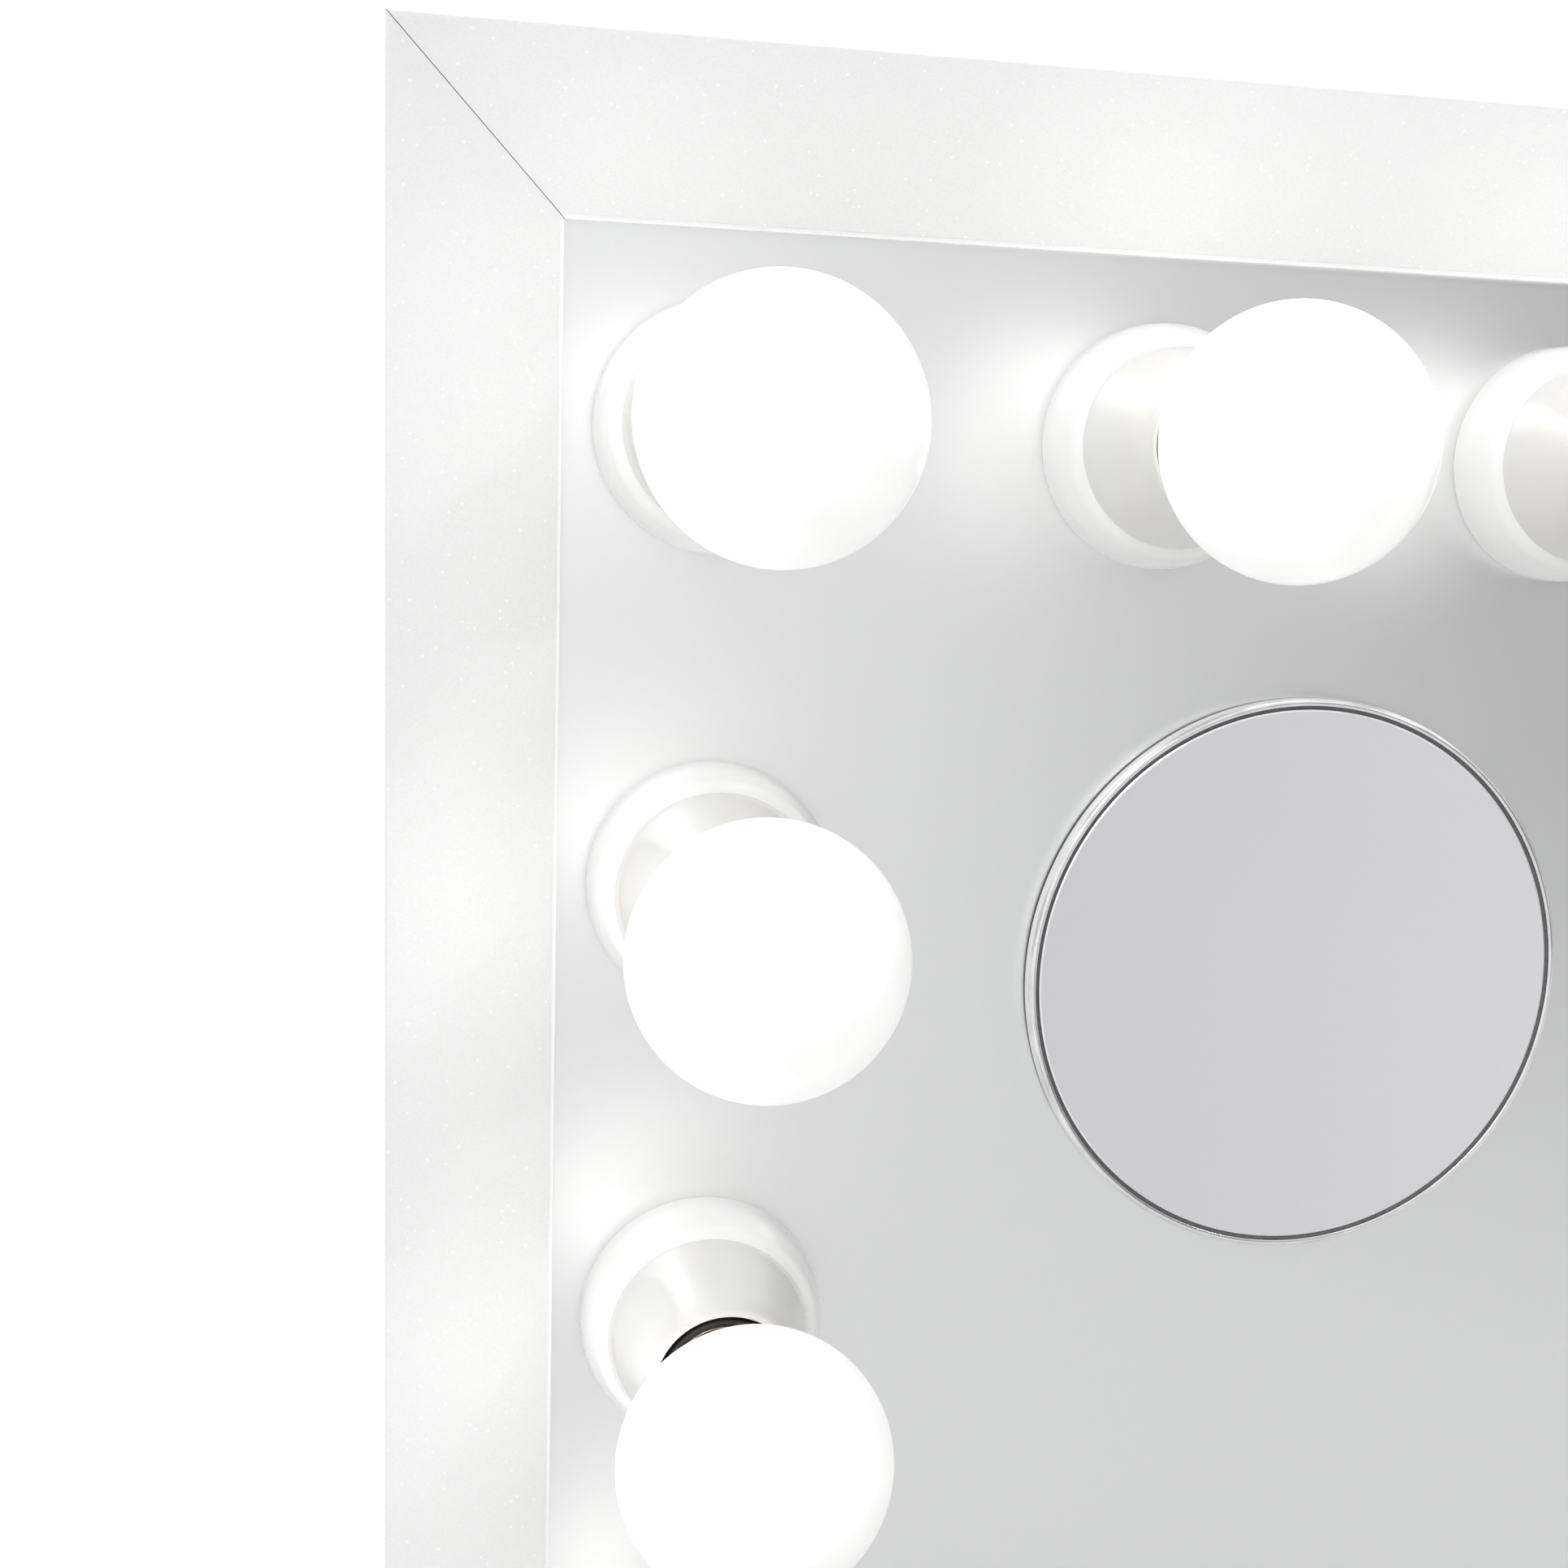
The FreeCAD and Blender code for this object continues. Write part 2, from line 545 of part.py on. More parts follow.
def make_back_cover():
    low = "-rail_back - cover_thick"
    sheet_blank = box("frame_width - 2 * cover_margin", "frame_height - 2 * cover_margin", "cover_thick",
                      "cover_margin - frame_width / 2", "cover_margin", low)
    vents = [slab("vent_length", "vent_width", "cover_thick + 2", x,
                  f"frame_height * {level} + {i - VENTS // 2} * vent_pitch", f"{low} - 1")
             for x in ("-frame_width / 5", "frame_width / 5") for level in (0.35, 0.62)
             for i in range(VENTS)]
    top = "frame_height - keyhole_drop"
    keyholes = keyhole("-keyhole_spacing / 2", top) + keyhole("keyhole_spacing / 2", top)
    inlet = slab(f"inlet_wide + {4 * FIT}", f"inlet_tall + {4 * FIT}", "cover_thick + 2",
                 "-inlet_side", "inlet_up", f"{low} - 1")
    holes = [rod(f"screw_radius + {2 * FIT}", "cover_thick + 2", x, y, f"{low} - 1")
             for x, y in cover_screw_places()]
    node("back_cover", cut(sheet_blank, *vents, *keyholes, inlet, *holes))
    screw = turned("cover_screw", [
        ("0", "-screw_head_thick"), ("screw_head * 0.6", "-screw_head_thick"), ("screw_head", "-0.6"),
        ("screw_head", "0"), ("screw_radius", "0"), ("screw_radius", "cover_thick"), ("0", "cover_thick")])
    node("back_cover_screws", *copies(screw, [(x, y, low) for x, y in cover_screw_places()]))


# ---- mains side --------------------------------------------------------------------------------------

def make_inlet():
    """A mains inlet in the cover: a flanged body with a recess and three flat pins."""
    at = ("-inlet_side", "inlet_up")
    outside = "-rail_back - cover_thick"
    flange = slab("inlet_wide + 2 * inlet_flange", "inlet_tall + 4", "inlet_flange_thick", *at,
                  f"{outside} - inlet_flange_thick")
    body = slab("inlet_wide", "inlet_tall", "inlet_deep", *at, outside)
    recess = slab("recess_wide", "recess_tall", "recess_deep", *at, f"{outside} - inlet_flange_thick")
    screw_x = "(inlet_wide / 2 + inlet_flange / 2)"
    screw_places = [(f"-inlet_side + {sign} * {screw_x}", "inlet_up") for sign in (-1, 1)]
    holes = [rod(f"screw_radius * 0.75 + {FIT}", "inlet_flange_thick + 2", x, y,
                 f"{outside} - inlet_flange_thick - 1") for x, y in screw_places]
    node("inlet_body", cut(fuse(flange, body), recess, *holes))
    floor = f"{outside} - inlet_flange_thick + recess_deep - pin_long"
    pins = [slab("pin_thick", "pin_wide", "pin_long", f"-inlet_side + {i} * pin_spacing",
                 f"inlet_up + {rise}", floor) for i, rise in ((-1, 1), (0, 4.5), (1, 1))]
    node("inlet_pins", *pins)
    screw = turned("inlet_screw", [
        ("0", "-1.4"), ("2.4", "-1.4"), ("3", "0"), ("screw_radius * 0.75", "0"),
        ("screw_radius * 0.75", "inlet_flange_thick"), ("0", "inlet_flange_thick")])
    node("inlet_screws",
         *copies(screw, [(x, y, f"{outside} - inlet_flange_thick") for x, y in screw_places]))


def make_terminal_block():
    low = f"{BOARD_BACK} - block_deep"
    block = slab("block_wide", "block_tall", "block_deep", "-block_side", "block_up", low)
    wells = [rod("3", "5", f"-block_side + {i} * block_wide / 4", "block_up", f"{low} - 1")
             for i in (-1, 0, 1)]
    node("terminal_block", cut(block, *wells))


def bent_tube(points, radius, bend):
    """A round tube along straight runs joined by tangent arcs of one bend radius."""
    edges = []
    here = points[0]
    for before, corner, after in zip(points, points[1:], points[2:]):
        arrive = (corner - before).normalize()
        leave = (after - corner).normalize()
        half = arrive.getAngle(leave) / 2
        back = bend * math.tan(half)
        first = corner - arrive * back
        last = corner + leave * back
        inward = (leave - arrive).normalize()
        middle = corner + inward * (bend / math.cos(half) - bend)
        edges.append(Part.LineSegment(here, first).toShape())
        edges.append(Part.Arc(first, middle, last).toShape())
        here = last
    edges.append(Part.LineSegment(here, points[-1]).toShape())
    path = Part.Wire(edges)
    direction = (points[1] - points[0]).normalize()
    ring = Part.Wire(Part.Circle(points[0], direction, radius).toShape())
    solid = path.makePipeShell([ring], True, False)
    expected = math.pi * radius ** 2 * path.Length
    if abs(solid.Volume - expected) > 0.01 * expected:
        raise RuntimeError("a lead's volume does not match its length")
    return solid


def feature(name, shape):
    piece = doc.addObject("Part::Feature", name)
    piece.Shape = shape
    return piece


def make_supply_loom():
    """One lead from the terminal block round three sides, with a tail into every lampholder."""
    lamp_x = size("frame_width") / 2 - size("lamp_side_inset")
    top = size("frame_height") - size("lamp_top_inset")
    board_back = -size("glass_thick") - size("foam_thick") - size("board_thick")
    z = board_back - size("loom_drop")
    offset = size("loom_offset")
    side = lamp_x + offset
    high = top + offset
    radius = size("loom_radius")
    low = size("loom_low")
    last = size("lamp_bottom_inset") - 2 * size("tail_radius")
    block_left = -size("block_side") - size("block_wide") / 2
    block_z = board_back - size("block_deep") / 2
    main = bent_tube([Vector(block_left, low, block_z), Vector(block_left - 30, low, block_z),
                      Vector(block_left - 60, low, z),
                      Vector(-side, low, z), Vector(-side, high, z), Vector(side, high, z),
                      Vector(side, last, z)], radius, size("loom_bend"))
    pieces = [feature("main_lead", main)]
    nipple_end = board_back - size("nipple_tail")
    tail = size("tail_radius")
    bend = nipple_end - z - 1
    pitch_down = (top - size("lamp_bottom_inset")) / LAMPS_DOWN
    pitch_across = 2 * lamp_x / (LAMPS_ACROSS - 1)
    exits = [(-lamp_x + i * pitch_across, top, Vector(0, 1, 0)) for i in range(LAMPS_ACROSS)]
    for sign in (-1, 1):
        exits += [(sign * lamp_x, top - i * pitch_down, Vector(sign, 0, 0))
                  for i in range(1, LAMPS_DOWN + 1)]
    for x, y, out in exits:
        corner = Vector(x, y, z)
        end = corner + out * (offset - radius)
        pieces.append(feature("lamp_tail", bent_tube([Vector(x, y, nipple_end), corner, end], tail, bend)))
    block_right = -size("block_side") + size("block_wide") / 2
    dimmer_left = -size("dimmer_wide") / 2
    dimmer_y = size("dimmer_up")
    between = (block_right + dimmer_left) / 2
    link = bent_tube([Vector(block_right, low, block_z), Vector(between, low, block_z),
                      Vector(between, dimmer_y, block_z), Vector(dimmer_left, dimmer_y, block_z)], tail, 8)
    pieces.append(feature("dimmer_lead", link))
    inlet_y = size("inlet_up")
    inlet_back = -size("rail_back") - size("cover_thick") + size("inlet_deep")
    inlet_z = board_back - 3
    feed = bent_tube([Vector(-size("inlet_side"), inlet_y, inlet_back),
                      Vector(-size("inlet_side"), inlet_y, inlet_z),
                      Vector(-size("block_side"), inlet_y, inlet_z),
                      Vector(-size("block_side"), low + size("block_tall") / 2, inlet_z)],
                     tail, 3.5)
    pieces.append(feature("inlet_lead", feed))
    node("supply_loom", *pieces)


def make_cable_clips():
    """Blocks on the board that the main lead passes through."""
    deep = "loom_drop + loom_radius + clip_wall"
    tall = "2 * (loom_radius + clip_wall)"
    low = f"{LOOM_Z} - loom_radius - clip_wall"
    side = f"({LAMP_X} + loom_offset)"
    clips = []
    for sign in (-1, 1):
        for i in range(LAMPS_DOWN):
            y = f"{LAMP_TOP} - {i + 0.5} * {LAMP_DROP}"
            block = slab(tall, "clip_wide", deep, f"{sign} * {side}", y, low)
            hole = rod(f"loom_radius + {FIT}", "clip_wide + 2", f"{sign} * {side}",
                       f"{y} + clip_wide / 2 + 1", LOOM_Z, ((1, 0, 0), 90))
            clips.append(cut(block, hole))
    for i in range(LAMPS_ACROSS - 1):
        x = f"-{LAMP_X} + {i + 0.5} * {LAMP_STEP}"
        y = f"{LAMP_TOP} + loom_offset"
        block = slab("clip_wide", tall, deep, x, y, low)
        hole = rod(f"loom_radius + {FIT}", "clip_wide + 2", f"{x} - clip_wide / 2 - 1", y, LOOM_Z,
                   ((0, 1, 0), 90))
        clips.append(cut(block, hole))
    node("cable_clips", *clips)


# ---- feet --------------------------------------------------------------------------------------------

def foot_screw_depths():
    return ("rail_front / 2", "-rail_back * 0.6")


def make_feet():
    """A steel bar under each side of the bottom rail, with a rubber pad under each of its ends."""
    for side, sign in (("left", -1), ("right", 1)):
        x = f"{sign} * foot_side"
        bar = slab("foot_wide", "foot_thick", "foot_front + foot_back", x, "-foot_thick / 2", "-foot_back")
        holes = [rod(f"screw_radius + {2 * FIT}", "foot_thick + 2", x, "1", z, ((1, 0, 0), 90))
                 for z in foot_screw_depths()]
        node(f"{side}_foot", cut(bar, *holes))
        pads = [slab("pad_wide", "pad_thick", "pad_long", x, "-foot_thick - pad_thick / 2", z)
                for z in ("pad_inset - foot_back", "foot_front - pad_inset - pad_long")]
        node(f"{side}_foot_pads", *pads)
    screw = turned("foot_screw", [
        ("0", "-1.6"), ("screw_head", "-1.6"), ("screw_head", "0"), ("screw_radius", "0"),
        ("screw_radius", "foot_thick"), ("0", "foot_thick")])
    turn = ((1, 0, 0), -90)
    places = [(f"{sign} * foot_side", "-foot_thick", z, turn)
              for sign in (-1, 1) for z in foot_screw_depths()]
    node("foot_screws", *copies(screw, places))


def check_and_write():
    doc.recompute()
    for thing in doc.Objects:
        if "Invalid" in thing.State or "Error" in thing.State:
            raise RuntimeError(f"{thing.Label} failed: {thing.State}")
    for part in nodes:
        if part.Shape.isNull() or not part.Shape.isValid() or not part.Shape.Solids:
            raise RuntimeError(f"{part.Label} is empty or not valid")
    os.makedirs("parts", exist_ok=True)
    for part in nodes:
        solids = part.Shape.Solids
        shape = solids[0] if len(solids) == 1 else part.Shape
        shape.exportStep(f"parts/{part.Label}.step")
        print(part.Label, len(solids), "solids")


fill_sheet()
make_frame()
make_corner_brackets()
make_glass_and_board()
make_board_clamps()
make_lampholders()
make_bulbs()
make_magnifier()
make_dimmer()
make_back_cover()
make_inlet()
make_terminal_block()
make_supply_loom()
make_cable_clips()
make_feet()
check_and_write()
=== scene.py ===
# %% [markdown]
# Lighted vanity mirror
#
# A dressing-table mirror: a white frame mitred at its corners, a sheet of mirror, fourteen globe lamps
# in glossy white screw holders, a round magnifying mirror held on by magnets, a dimmer knob and two
# steel feet. The engineering model fixes every size and place. This lesson reads them from it, lays
# finer pieces over the plain ones, and gives each surface its own finish.

# %% Load the frame
import json
import math
import bmesh
import bpy
from mathutils import Matrix, Vector


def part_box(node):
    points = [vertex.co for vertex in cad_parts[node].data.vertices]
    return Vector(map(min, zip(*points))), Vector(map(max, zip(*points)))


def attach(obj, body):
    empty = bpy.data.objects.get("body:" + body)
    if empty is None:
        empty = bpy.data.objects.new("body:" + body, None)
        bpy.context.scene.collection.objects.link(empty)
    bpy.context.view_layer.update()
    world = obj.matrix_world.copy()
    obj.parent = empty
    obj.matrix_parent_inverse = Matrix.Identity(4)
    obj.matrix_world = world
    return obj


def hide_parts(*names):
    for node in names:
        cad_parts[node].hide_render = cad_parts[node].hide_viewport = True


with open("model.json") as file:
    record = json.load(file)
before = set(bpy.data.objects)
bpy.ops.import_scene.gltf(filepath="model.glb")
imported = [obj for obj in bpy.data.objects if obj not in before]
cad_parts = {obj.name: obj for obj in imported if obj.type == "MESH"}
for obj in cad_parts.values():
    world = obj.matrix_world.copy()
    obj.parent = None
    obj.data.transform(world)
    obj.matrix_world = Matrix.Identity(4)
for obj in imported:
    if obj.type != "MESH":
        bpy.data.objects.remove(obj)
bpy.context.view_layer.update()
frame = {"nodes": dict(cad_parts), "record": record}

# %% [markdown]
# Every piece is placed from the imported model, so the first step is to read the few numbers that the
# rest hangs on: where the glass lies, where the lamps stand on it, and how far things stick out.
# Millimetres are easier to think in than metres for parts this small, so `mm` turns one into the other.

# %% Read the places
def mm(*values):
    scaled = [value * 0.001 for value in values]
    return scaled[0] if len(scaled) == 1 else scaled


def middle(node):
    low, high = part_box(node)
    return (low + high) / 2


low_rails = [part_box(node)[0] for node in ("frame_left_stile", "frame_bottom_rail")]
high_rails = [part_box(node)[1] for node in ("frame_right_stile", "frame_top_rail")]
case_low = Vector([min(corner[i] for corner in low_rails) for i in range(3)])
case_high = Vector([max(corner[i] for corner in high_rails) for i in range(3)])
glass_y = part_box("mirror_glass")[0].y
lamp_names = [f"{i:02d}" for i in range(1, 15)]
lamps = {name: middle(f"bulb_{name}") for name in lamp_names}
lens = middle("magnifier_glass")
knob = middle("dimmer_washer")
top_z = max(spot.z for spot in lamps.values())
low_z = min(spot.z for spot in lamps.values())
half_span = max(spot.x for spot in lamps.values())


def radius_of(node):
    low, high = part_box(node)
    return (high.x - low.x) * 500


def front_of(node):
    """Height of a node's front above the glass, in millimetres."""
    return (glass_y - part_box(node)[0].y) * 1000


def back_of(node):
    """Height of a node's back above the glass, in millimetres."""
    return (glass_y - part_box(node)[1].y) * 1000


print("glass face at y", round(glass_y, 4), "lamps", len(lamps), "case", case_low[:], case_high[:])

# %% [markdown]
# The camera comes early, because every later choice is judged through it. It stands close to the
# glass, just inside the left edge and a little below the top one, and looks right and down, so the
# corner of the frame comes forward and the lamps stand out sideways. A close camera with a longish lens
# needs some lens shift, as a view camera has, to keep the frame's left side upright.

# %% Place the camera
CAMERA_INSIDE = mm(3.3)
CAMERA_BELOW = mm(107.6)
CAMERA_DISTANCE = mm(615.1)
CAMERA_PAN = math.radians(13.79)
CAMERA_TILT = math.radians(-8.85)
CAMERA_ROLL = math.radians(2.22)
CAMERA_LENS = 53.5
CAMERA_SHIFT_X = -0.114
CAMERA_SHIFT_Y = 0.0437


def place_camera():
    data = bpy.data.cameras.new("camera")
    data.lens = CAMERA_LENS
    data.sensor_width = 36.0
    data.shift_x = CAMERA_SHIFT_X
    data.shift_y = CAMERA_SHIFT_Y
    data.clip_start = 0.01
    data.clip_end = 50.0
    camera = bpy.data.objects.new("camera", data)
    bpy.context.scene.collection.objects.link(camera)
    camera.location = (case_low.x + CAMERA_INSIDE, glass_y - CAMERA_DISTANCE, case_high.z - CAMERA_BELOW)
    facing = (Matrix.Rotation(-CAMERA_PAN, 3, "Z") @ Matrix.Rotation(math.pi / 2 + CAMERA_TILT, 3, "X")
              @ Matrix.Rotation(CAMERA_ROLL, 3, "Z"))
    camera.rotation_euler = facing.to_euler()
    bpy.context.scene.camera = camera
    return camera


camera = place_camera()
print("camera at", [round(v, 3) for v in camera.location])

# %% [markdown]
# A mirror shows what stands in front of it, so the light is drawn for the glass first. The room is
# white all round, except for one wide soft grey patch in front and to the right, which is what turns
# the glass from pale at the left to mid grey at the right. Behind the mirror the room is a touch
# brighter still. The patch is a direction on the sky, found with a dot product, so it stays put when
# the camera moves.

# %% Build the room's light
bpy.context.scene.view_settings.view_transform = "Standard"


def link_nodes(tree, *pairs):
    for source, target in pairs:
        tree.links.new(source, target)


def feed(tree, sockets, values):
    """Fills sockets in order: a number is set, anything else is linked."""
    for socket, value in zip(sockets, values):
        if isinstance(value, (int, float)):
            socket.default_value = value
        else:
            tree.links.new(value, socket)


def map_range(tree, value, from_low, from_high, to_low, to_high):
    node = tree.nodes.new("ShaderNodeMapRange")
    node.interpolation_type = "SMOOTHSTEP"
    for name, number in (("From Min", from_low), ("From Max", from_high), ("To Min", to_low),
                         ("To Max", to_high)):
        node.inputs[name].default_value = number
    tree.links.new(value, node.inputs["Value"])
    return node.outputs["Result"]


def maths(tree, operation, *values):
    node = tree.nodes.new("ShaderNodeMath")
    node.operation = operation
    feed(tree, node.inputs, values)
    return node.outputs["Value"]


def toward(tree, direction, target):
    node = tree.nodes.new("ShaderNodeVectorMath")
    node.operation = "DOT_PRODUCT"
    node.inputs[1].default_value = Vector(target).normalized()
    tree.links.new(direction, node.inputs[0])
    return node.outputs["Value"]


BACK_WHITE = 1.06
FRONT_WHITE = 0.94
PATCH_GREY = 0.25
PATCH_TOWARD = (0.75, -0.65, 0.08)


def build_room():
    world = bpy.data.worlds.new("room")
    world.use_nodes = True
    bpy.context.scene.world = world
    tree = world.node_tree
    background = tree.nodes["Background"]
    direction = tree.nodes.new("ShaderNodeTexCoord").outputs["Generated"]
    patch = map_range(tree, toward(tree, direction, PATCH_TOWARD), 0.73, 0.97, FRONT_WHITE, PATCH_GREY)
    behind = map_range(tree, toward(tree, direction, (0.0, 1.0, 0.0)), -0.05, 0.05, 0.0, 1.0)
    mix = tree.nodes.new("ShaderNodeMix")
    link_nodes(tree, (behind, mix.inputs["Factor"]), (patch, mix.inputs["A"]))
    mix.inputs["B"].default_value = BACK_WHITE
    link_nodes(tree, (mix.outputs["Result"], background.inputs["Strength"]))
    background.inputs["Color"].default_value = (1.0, 1.0, 1.0, 1.0)
    return world


def area_light(name, place, aim, size, power):
    data = bpy.data.lights.new(name, "AREA")
    data.shape = "DISK"
    data.size = size
    data.energy = power
    light = bpy.data.objects.new(name, data)
    bpy.context.scene.collection.objects.link(light)
    light.location = place
    light.rotation_euler = (Vector(aim) - Vector(place)).to_track_quat("-Z", "Y").to_euler()
    return light


build_room()
area_light("key", (-1.6, -1.6, 2.0), (0, glass_y, 0.4), 1.2, 7)
area_light("top", (0.2, 0.5, 2.4), (0, 0.3, 0), 1.6, 16)
area_light("sparkle_left", (-0.9, -1.1, 1.5), (-0.2, glass_y, 0.4), 0.14, 1.6)
area_light("sparkle_right", (0.9, -0.9, 1.35), (-0.2, glass_y, 0.4), 0.14, 1.4)
GLOW_POWER = 0.024
GLOW_SIZE = mm(18)
GLOW_HEIGHT = mm(72)
GLOW_OUTWARDS = mm(36)


def lamp_glow(name, spot):
    """The light a lamp throws on the frame beside it; the glass does not mirror it as a lamp."""
    outwards = Vector((math.copysign(1.0, spot.x) if abs(spot.x) > half_span - 1e-3 else 0.0, 0.0,
                       1.0 if spot.z > top_z - 1e-3 else 0.0)).normalized()
    data = bpy.data.lights.new(f"glow_{name}", "POINT")
    data.energy = GLOW_POWER
    data.shadow_soft_size = GLOW_SIZE
    glow = bpy.data.objects.new(f"glow_{name}", data)
    bpy.context.scene.collection.objects.link(glow)
    glow.location = Vector((spot.x, glass_y - GLOW_HEIGHT, spot.z)) + outwards * GLOW_OUTWARDS
    glow.visible_glossy = False
    glow.visible_camera = False


for name, spot in lamps.items():
    lamp_glow(name, spot)
print("room, two soft lights, two small bright ones and", len(lamps), "lamp glows made")

# %% [markdown]
# The floor is a plain pale sweep of paper, and no part of the mirror. Its colour is graded from white
# behind the mirror to a light grey towards the viewer. The grey is painted shade, because the grey half
# is the one that the glass shows low down.

# %% Lay the floor
FLOOR_SIDE = 2.5
FLOOR_FRONT = -1.8
FLOOR_BACK = 2.5


def lay_floor():
    mesh = bpy.data.meshes.new("floor")
    form = bmesh.new()
    corners = [form.verts.new(corner) for corner in
               ((-FLOOR_SIDE, FLOOR_FRONT, 0), (FLOOR_SIDE, FLOOR_FRONT, 0),
                (FLOOR_SIDE, FLOOR_BACK, 0), (-FLOOR_SIDE, FLOOR_BACK, 0))]
    form.faces.new(corners)
    form.to_mesh(mesh)
    form.free()
    floor = bpy.data.objects.new("floor", mesh)
    bpy.context.scene.collection.objects.link(floor)
    return floor


floor = lay_floor()

# %% [markdown]
# Finishes are built from a few small helpers: a new material with its main shader, a grain that reads
# the piece's own coordinates in metres, and a bump made from that grain. A scale of 1000 on object
# coordinates is one cell of pattern to a millimetre.

# %% Helpers for finishes
def finish(name, colour, roughness, metallic=0.0, **more):
    material = bpy.data.materials.new(name)
    material.use_nodes = True
    shader = material.node_tree.nodes["Principled BSDF"]
    shader.inputs["Base Color"].default_value = (*colour, 1.0)
    shader.inputs["Roughness"].default_value = roughness
    shader.inputs["Metallic"].default_value = metallic
    for socket, value in more.items():
        shader.inputs[socket.replace("_", " ")].default_value = value
    return material, material.node_tree, shader


def place_on_piece(tree, stretch=(1.0, 1.0, 1.0)):
    mapping = tree.nodes.new("ShaderNodeMapping")
    mapping.vector_type = "TEXTURE"
    mapping.inputs["Scale"].default_value = stretch
    tree.links.new(tree.nodes.new("ShaderNodeTexCoord").outputs["Object"], mapping.inputs["Vector"])
    return mapping.outputs["Vector"]


def grain(tree, where, scale, detail=2.0, roughness=0.5):
    node = tree.nodes.new("ShaderNodeTexNoise")
    node.inputs["Scale"].default_value = scale
    node.inputs["Detail"].default_value = detail
    node.inputs["Roughness"].default_value = roughness
    tree.links.new(where, node.inputs["Vector"])
    return node.outputs["Fac"]


def cells(tree, where, scale, output="Distance"):
    node = tree.nodes.new("ShaderNodeTexVoronoi")
    node.inputs["Scale"].default_value = scale
    tree.links.new(where, node.inputs["Vector"])
    return node.outputs[output]


def tint(tree, factor, low, high, low_at=0.3, high_at=0.7):
    ramp = tree.nodes.new("ShaderNodeValToRGB")
    ramp.color_ramp.elements[0].position = low_at
    ramp.color_ramp.elements[0].color = (*low, 1.0)
    ramp.color_ramp.elements[1].position = high_at
    ramp.color_ramp.elements[1].color = (*high, 1.0)
    tree.links.new(factor, ramp.inputs["Fac"])
    return ramp.outputs["Color"]


def bump(tree, shader, height, depth, strength):
    node = tree.nodes.new("ShaderNodeBump")
    node.inputs["Strength"].default_value = strength
    node.inputs["Distance"].default_value = depth
    link_nodes(tree, (height, node.inputs["Height"]), (node.outputs["Normal"], shader.inputs["Normal"]))


# %% [markdown]
# The frame is sprayed with a fine white sand texture. Up close that is a low leathery grain about
# half a millimetre across, with a few brighter glints where a grain faces the light. The grain is a
# bump. The glints are painted highlights: small cells picked at random and made lighter in colour.

# %% The powder coat
def powder_coat(name, white=0.85):
    material, tree, shader = finish(name, (white, white, white), 0.46, Specular_IOR_Level=0.45)
    where = place_on_piece(tree)
    fine = grain(tree, where, 1900, 3.0, 0.6)
    broad = grain(tree, where, 14, 2.0)
    glint_cells = cells(tree, where, 620)
    chosen = tree.nodes.new("ShaderNodeSeparateColor")
    link_nodes(tree, (cells(tree, where, 620, "Color"), chosen.inputs["Color"]))
    # painted highlight: a few random small cells made lighter in colour, standing in for grains that catch
    # the light
    painted_glint = maths(tree, "MULTIPLY", maths(tree, "LESS_THAN", glint_cells, 0.22),
                  maths(tree, "GREATER_THAN", chosen.outputs["Red"], 0.90))
    base = tint(tree, fine, (white * 0.965,) * 3, (white * 1.03,) * 3)
    blend = tree.nodes.new("ShaderNodeMix")
    blend.data_type = "RGBA"
    blend.inputs["B"].default_value = (0.96, 0.96, 0.96, 1.0)
    link_nodes(tree, (base, blend.inputs["A"]), (painted_glint, blend.inputs["Factor"]),
               (blend.outputs["Result"], shader.inputs["Base Color"]),
               (map_range(tree, broad, 0.3, 0.7, 0.42, 0.52), shader.inputs["Roughness"]))
    bump(tree, shader, fine, mm(0.10), 0.55)
    return material


frame_white = powder_coat("powder_white")
# The lip's whiter coat is a painted highlight: the thin bright line where the frame's inner edge catches
# the light.
lip_painted_highlight = powder_coat("lip_painted_highlight", 0.95)
print("powder coat made")

# %% [markdown]
# The sheet of mirror is a metal layer behind clear glass. Here one metallic surface stands for both.
# It is much rougher than a real mirror, which would be sharp. The roughness gives the glass an even
# grey with no images of the lamps in it. Wide faint wiping marks change it a little from place to
# place.

# %% The mirrors
def mirror_finish(name, colour, roughness, spread):
    material, tree, shader = finish(name, colour, roughness, 1.0)
    where = place_on_piece(tree)
    wipe = grain(tree, where, 5, 1.0)
    dust = grain(tree, where, 420, 2.0)
    link_nodes(tree, (map_range(tree, wipe, 0.3, 0.7, roughness - spread, roughness + spread),
                      shader.inputs["Roughness"]),
               (tint(tree, dust, tuple(c * 0.995 for c in colour), colour), shader.inputs["Base Color"]))
    return material


glass_mirror = mirror_finish("mirror", (0.90, 0.91, 0.905), 0.34, 0.012)
lens_mirror = mirror_finish("magnifier_mirror", (0.955, 0.955, 0.98), 0.36, 0.01)

# %% [markdown]
# The lamps have opal globes. Lit, they are an even white that only loses a little light towards the
# neck. A faint cloudiness in the glow keeps them from being one flat value. The holders under them are
# glossy white mouldings, slightly pearly, with a clear skin that catches small highlights.

# %% Opal and white mouldings
def opal_finish():
    material, tree, shader = finish("opal_lit", (0.92, 0.92, 0.91), 0.22, Coat_Weight=0.3)
    where = place_on_piece(tree)
    cloud = grain(tree, where, 30, 3.0)
    shader.inputs["Emission Color"].default_value = (1.0, 0.995, 0.985, 1.0)
    link_nodes(tree, (tint(tree, cloud, (0.90, 0.90, 0.885), (0.94, 0.94, 0.93)),
                      shader.inputs["Base Color"]),
               (map_range(tree, cloud, 0.3, 0.7, 0.28, 0.33), shader.inputs["Emission Strength"]))
    return material


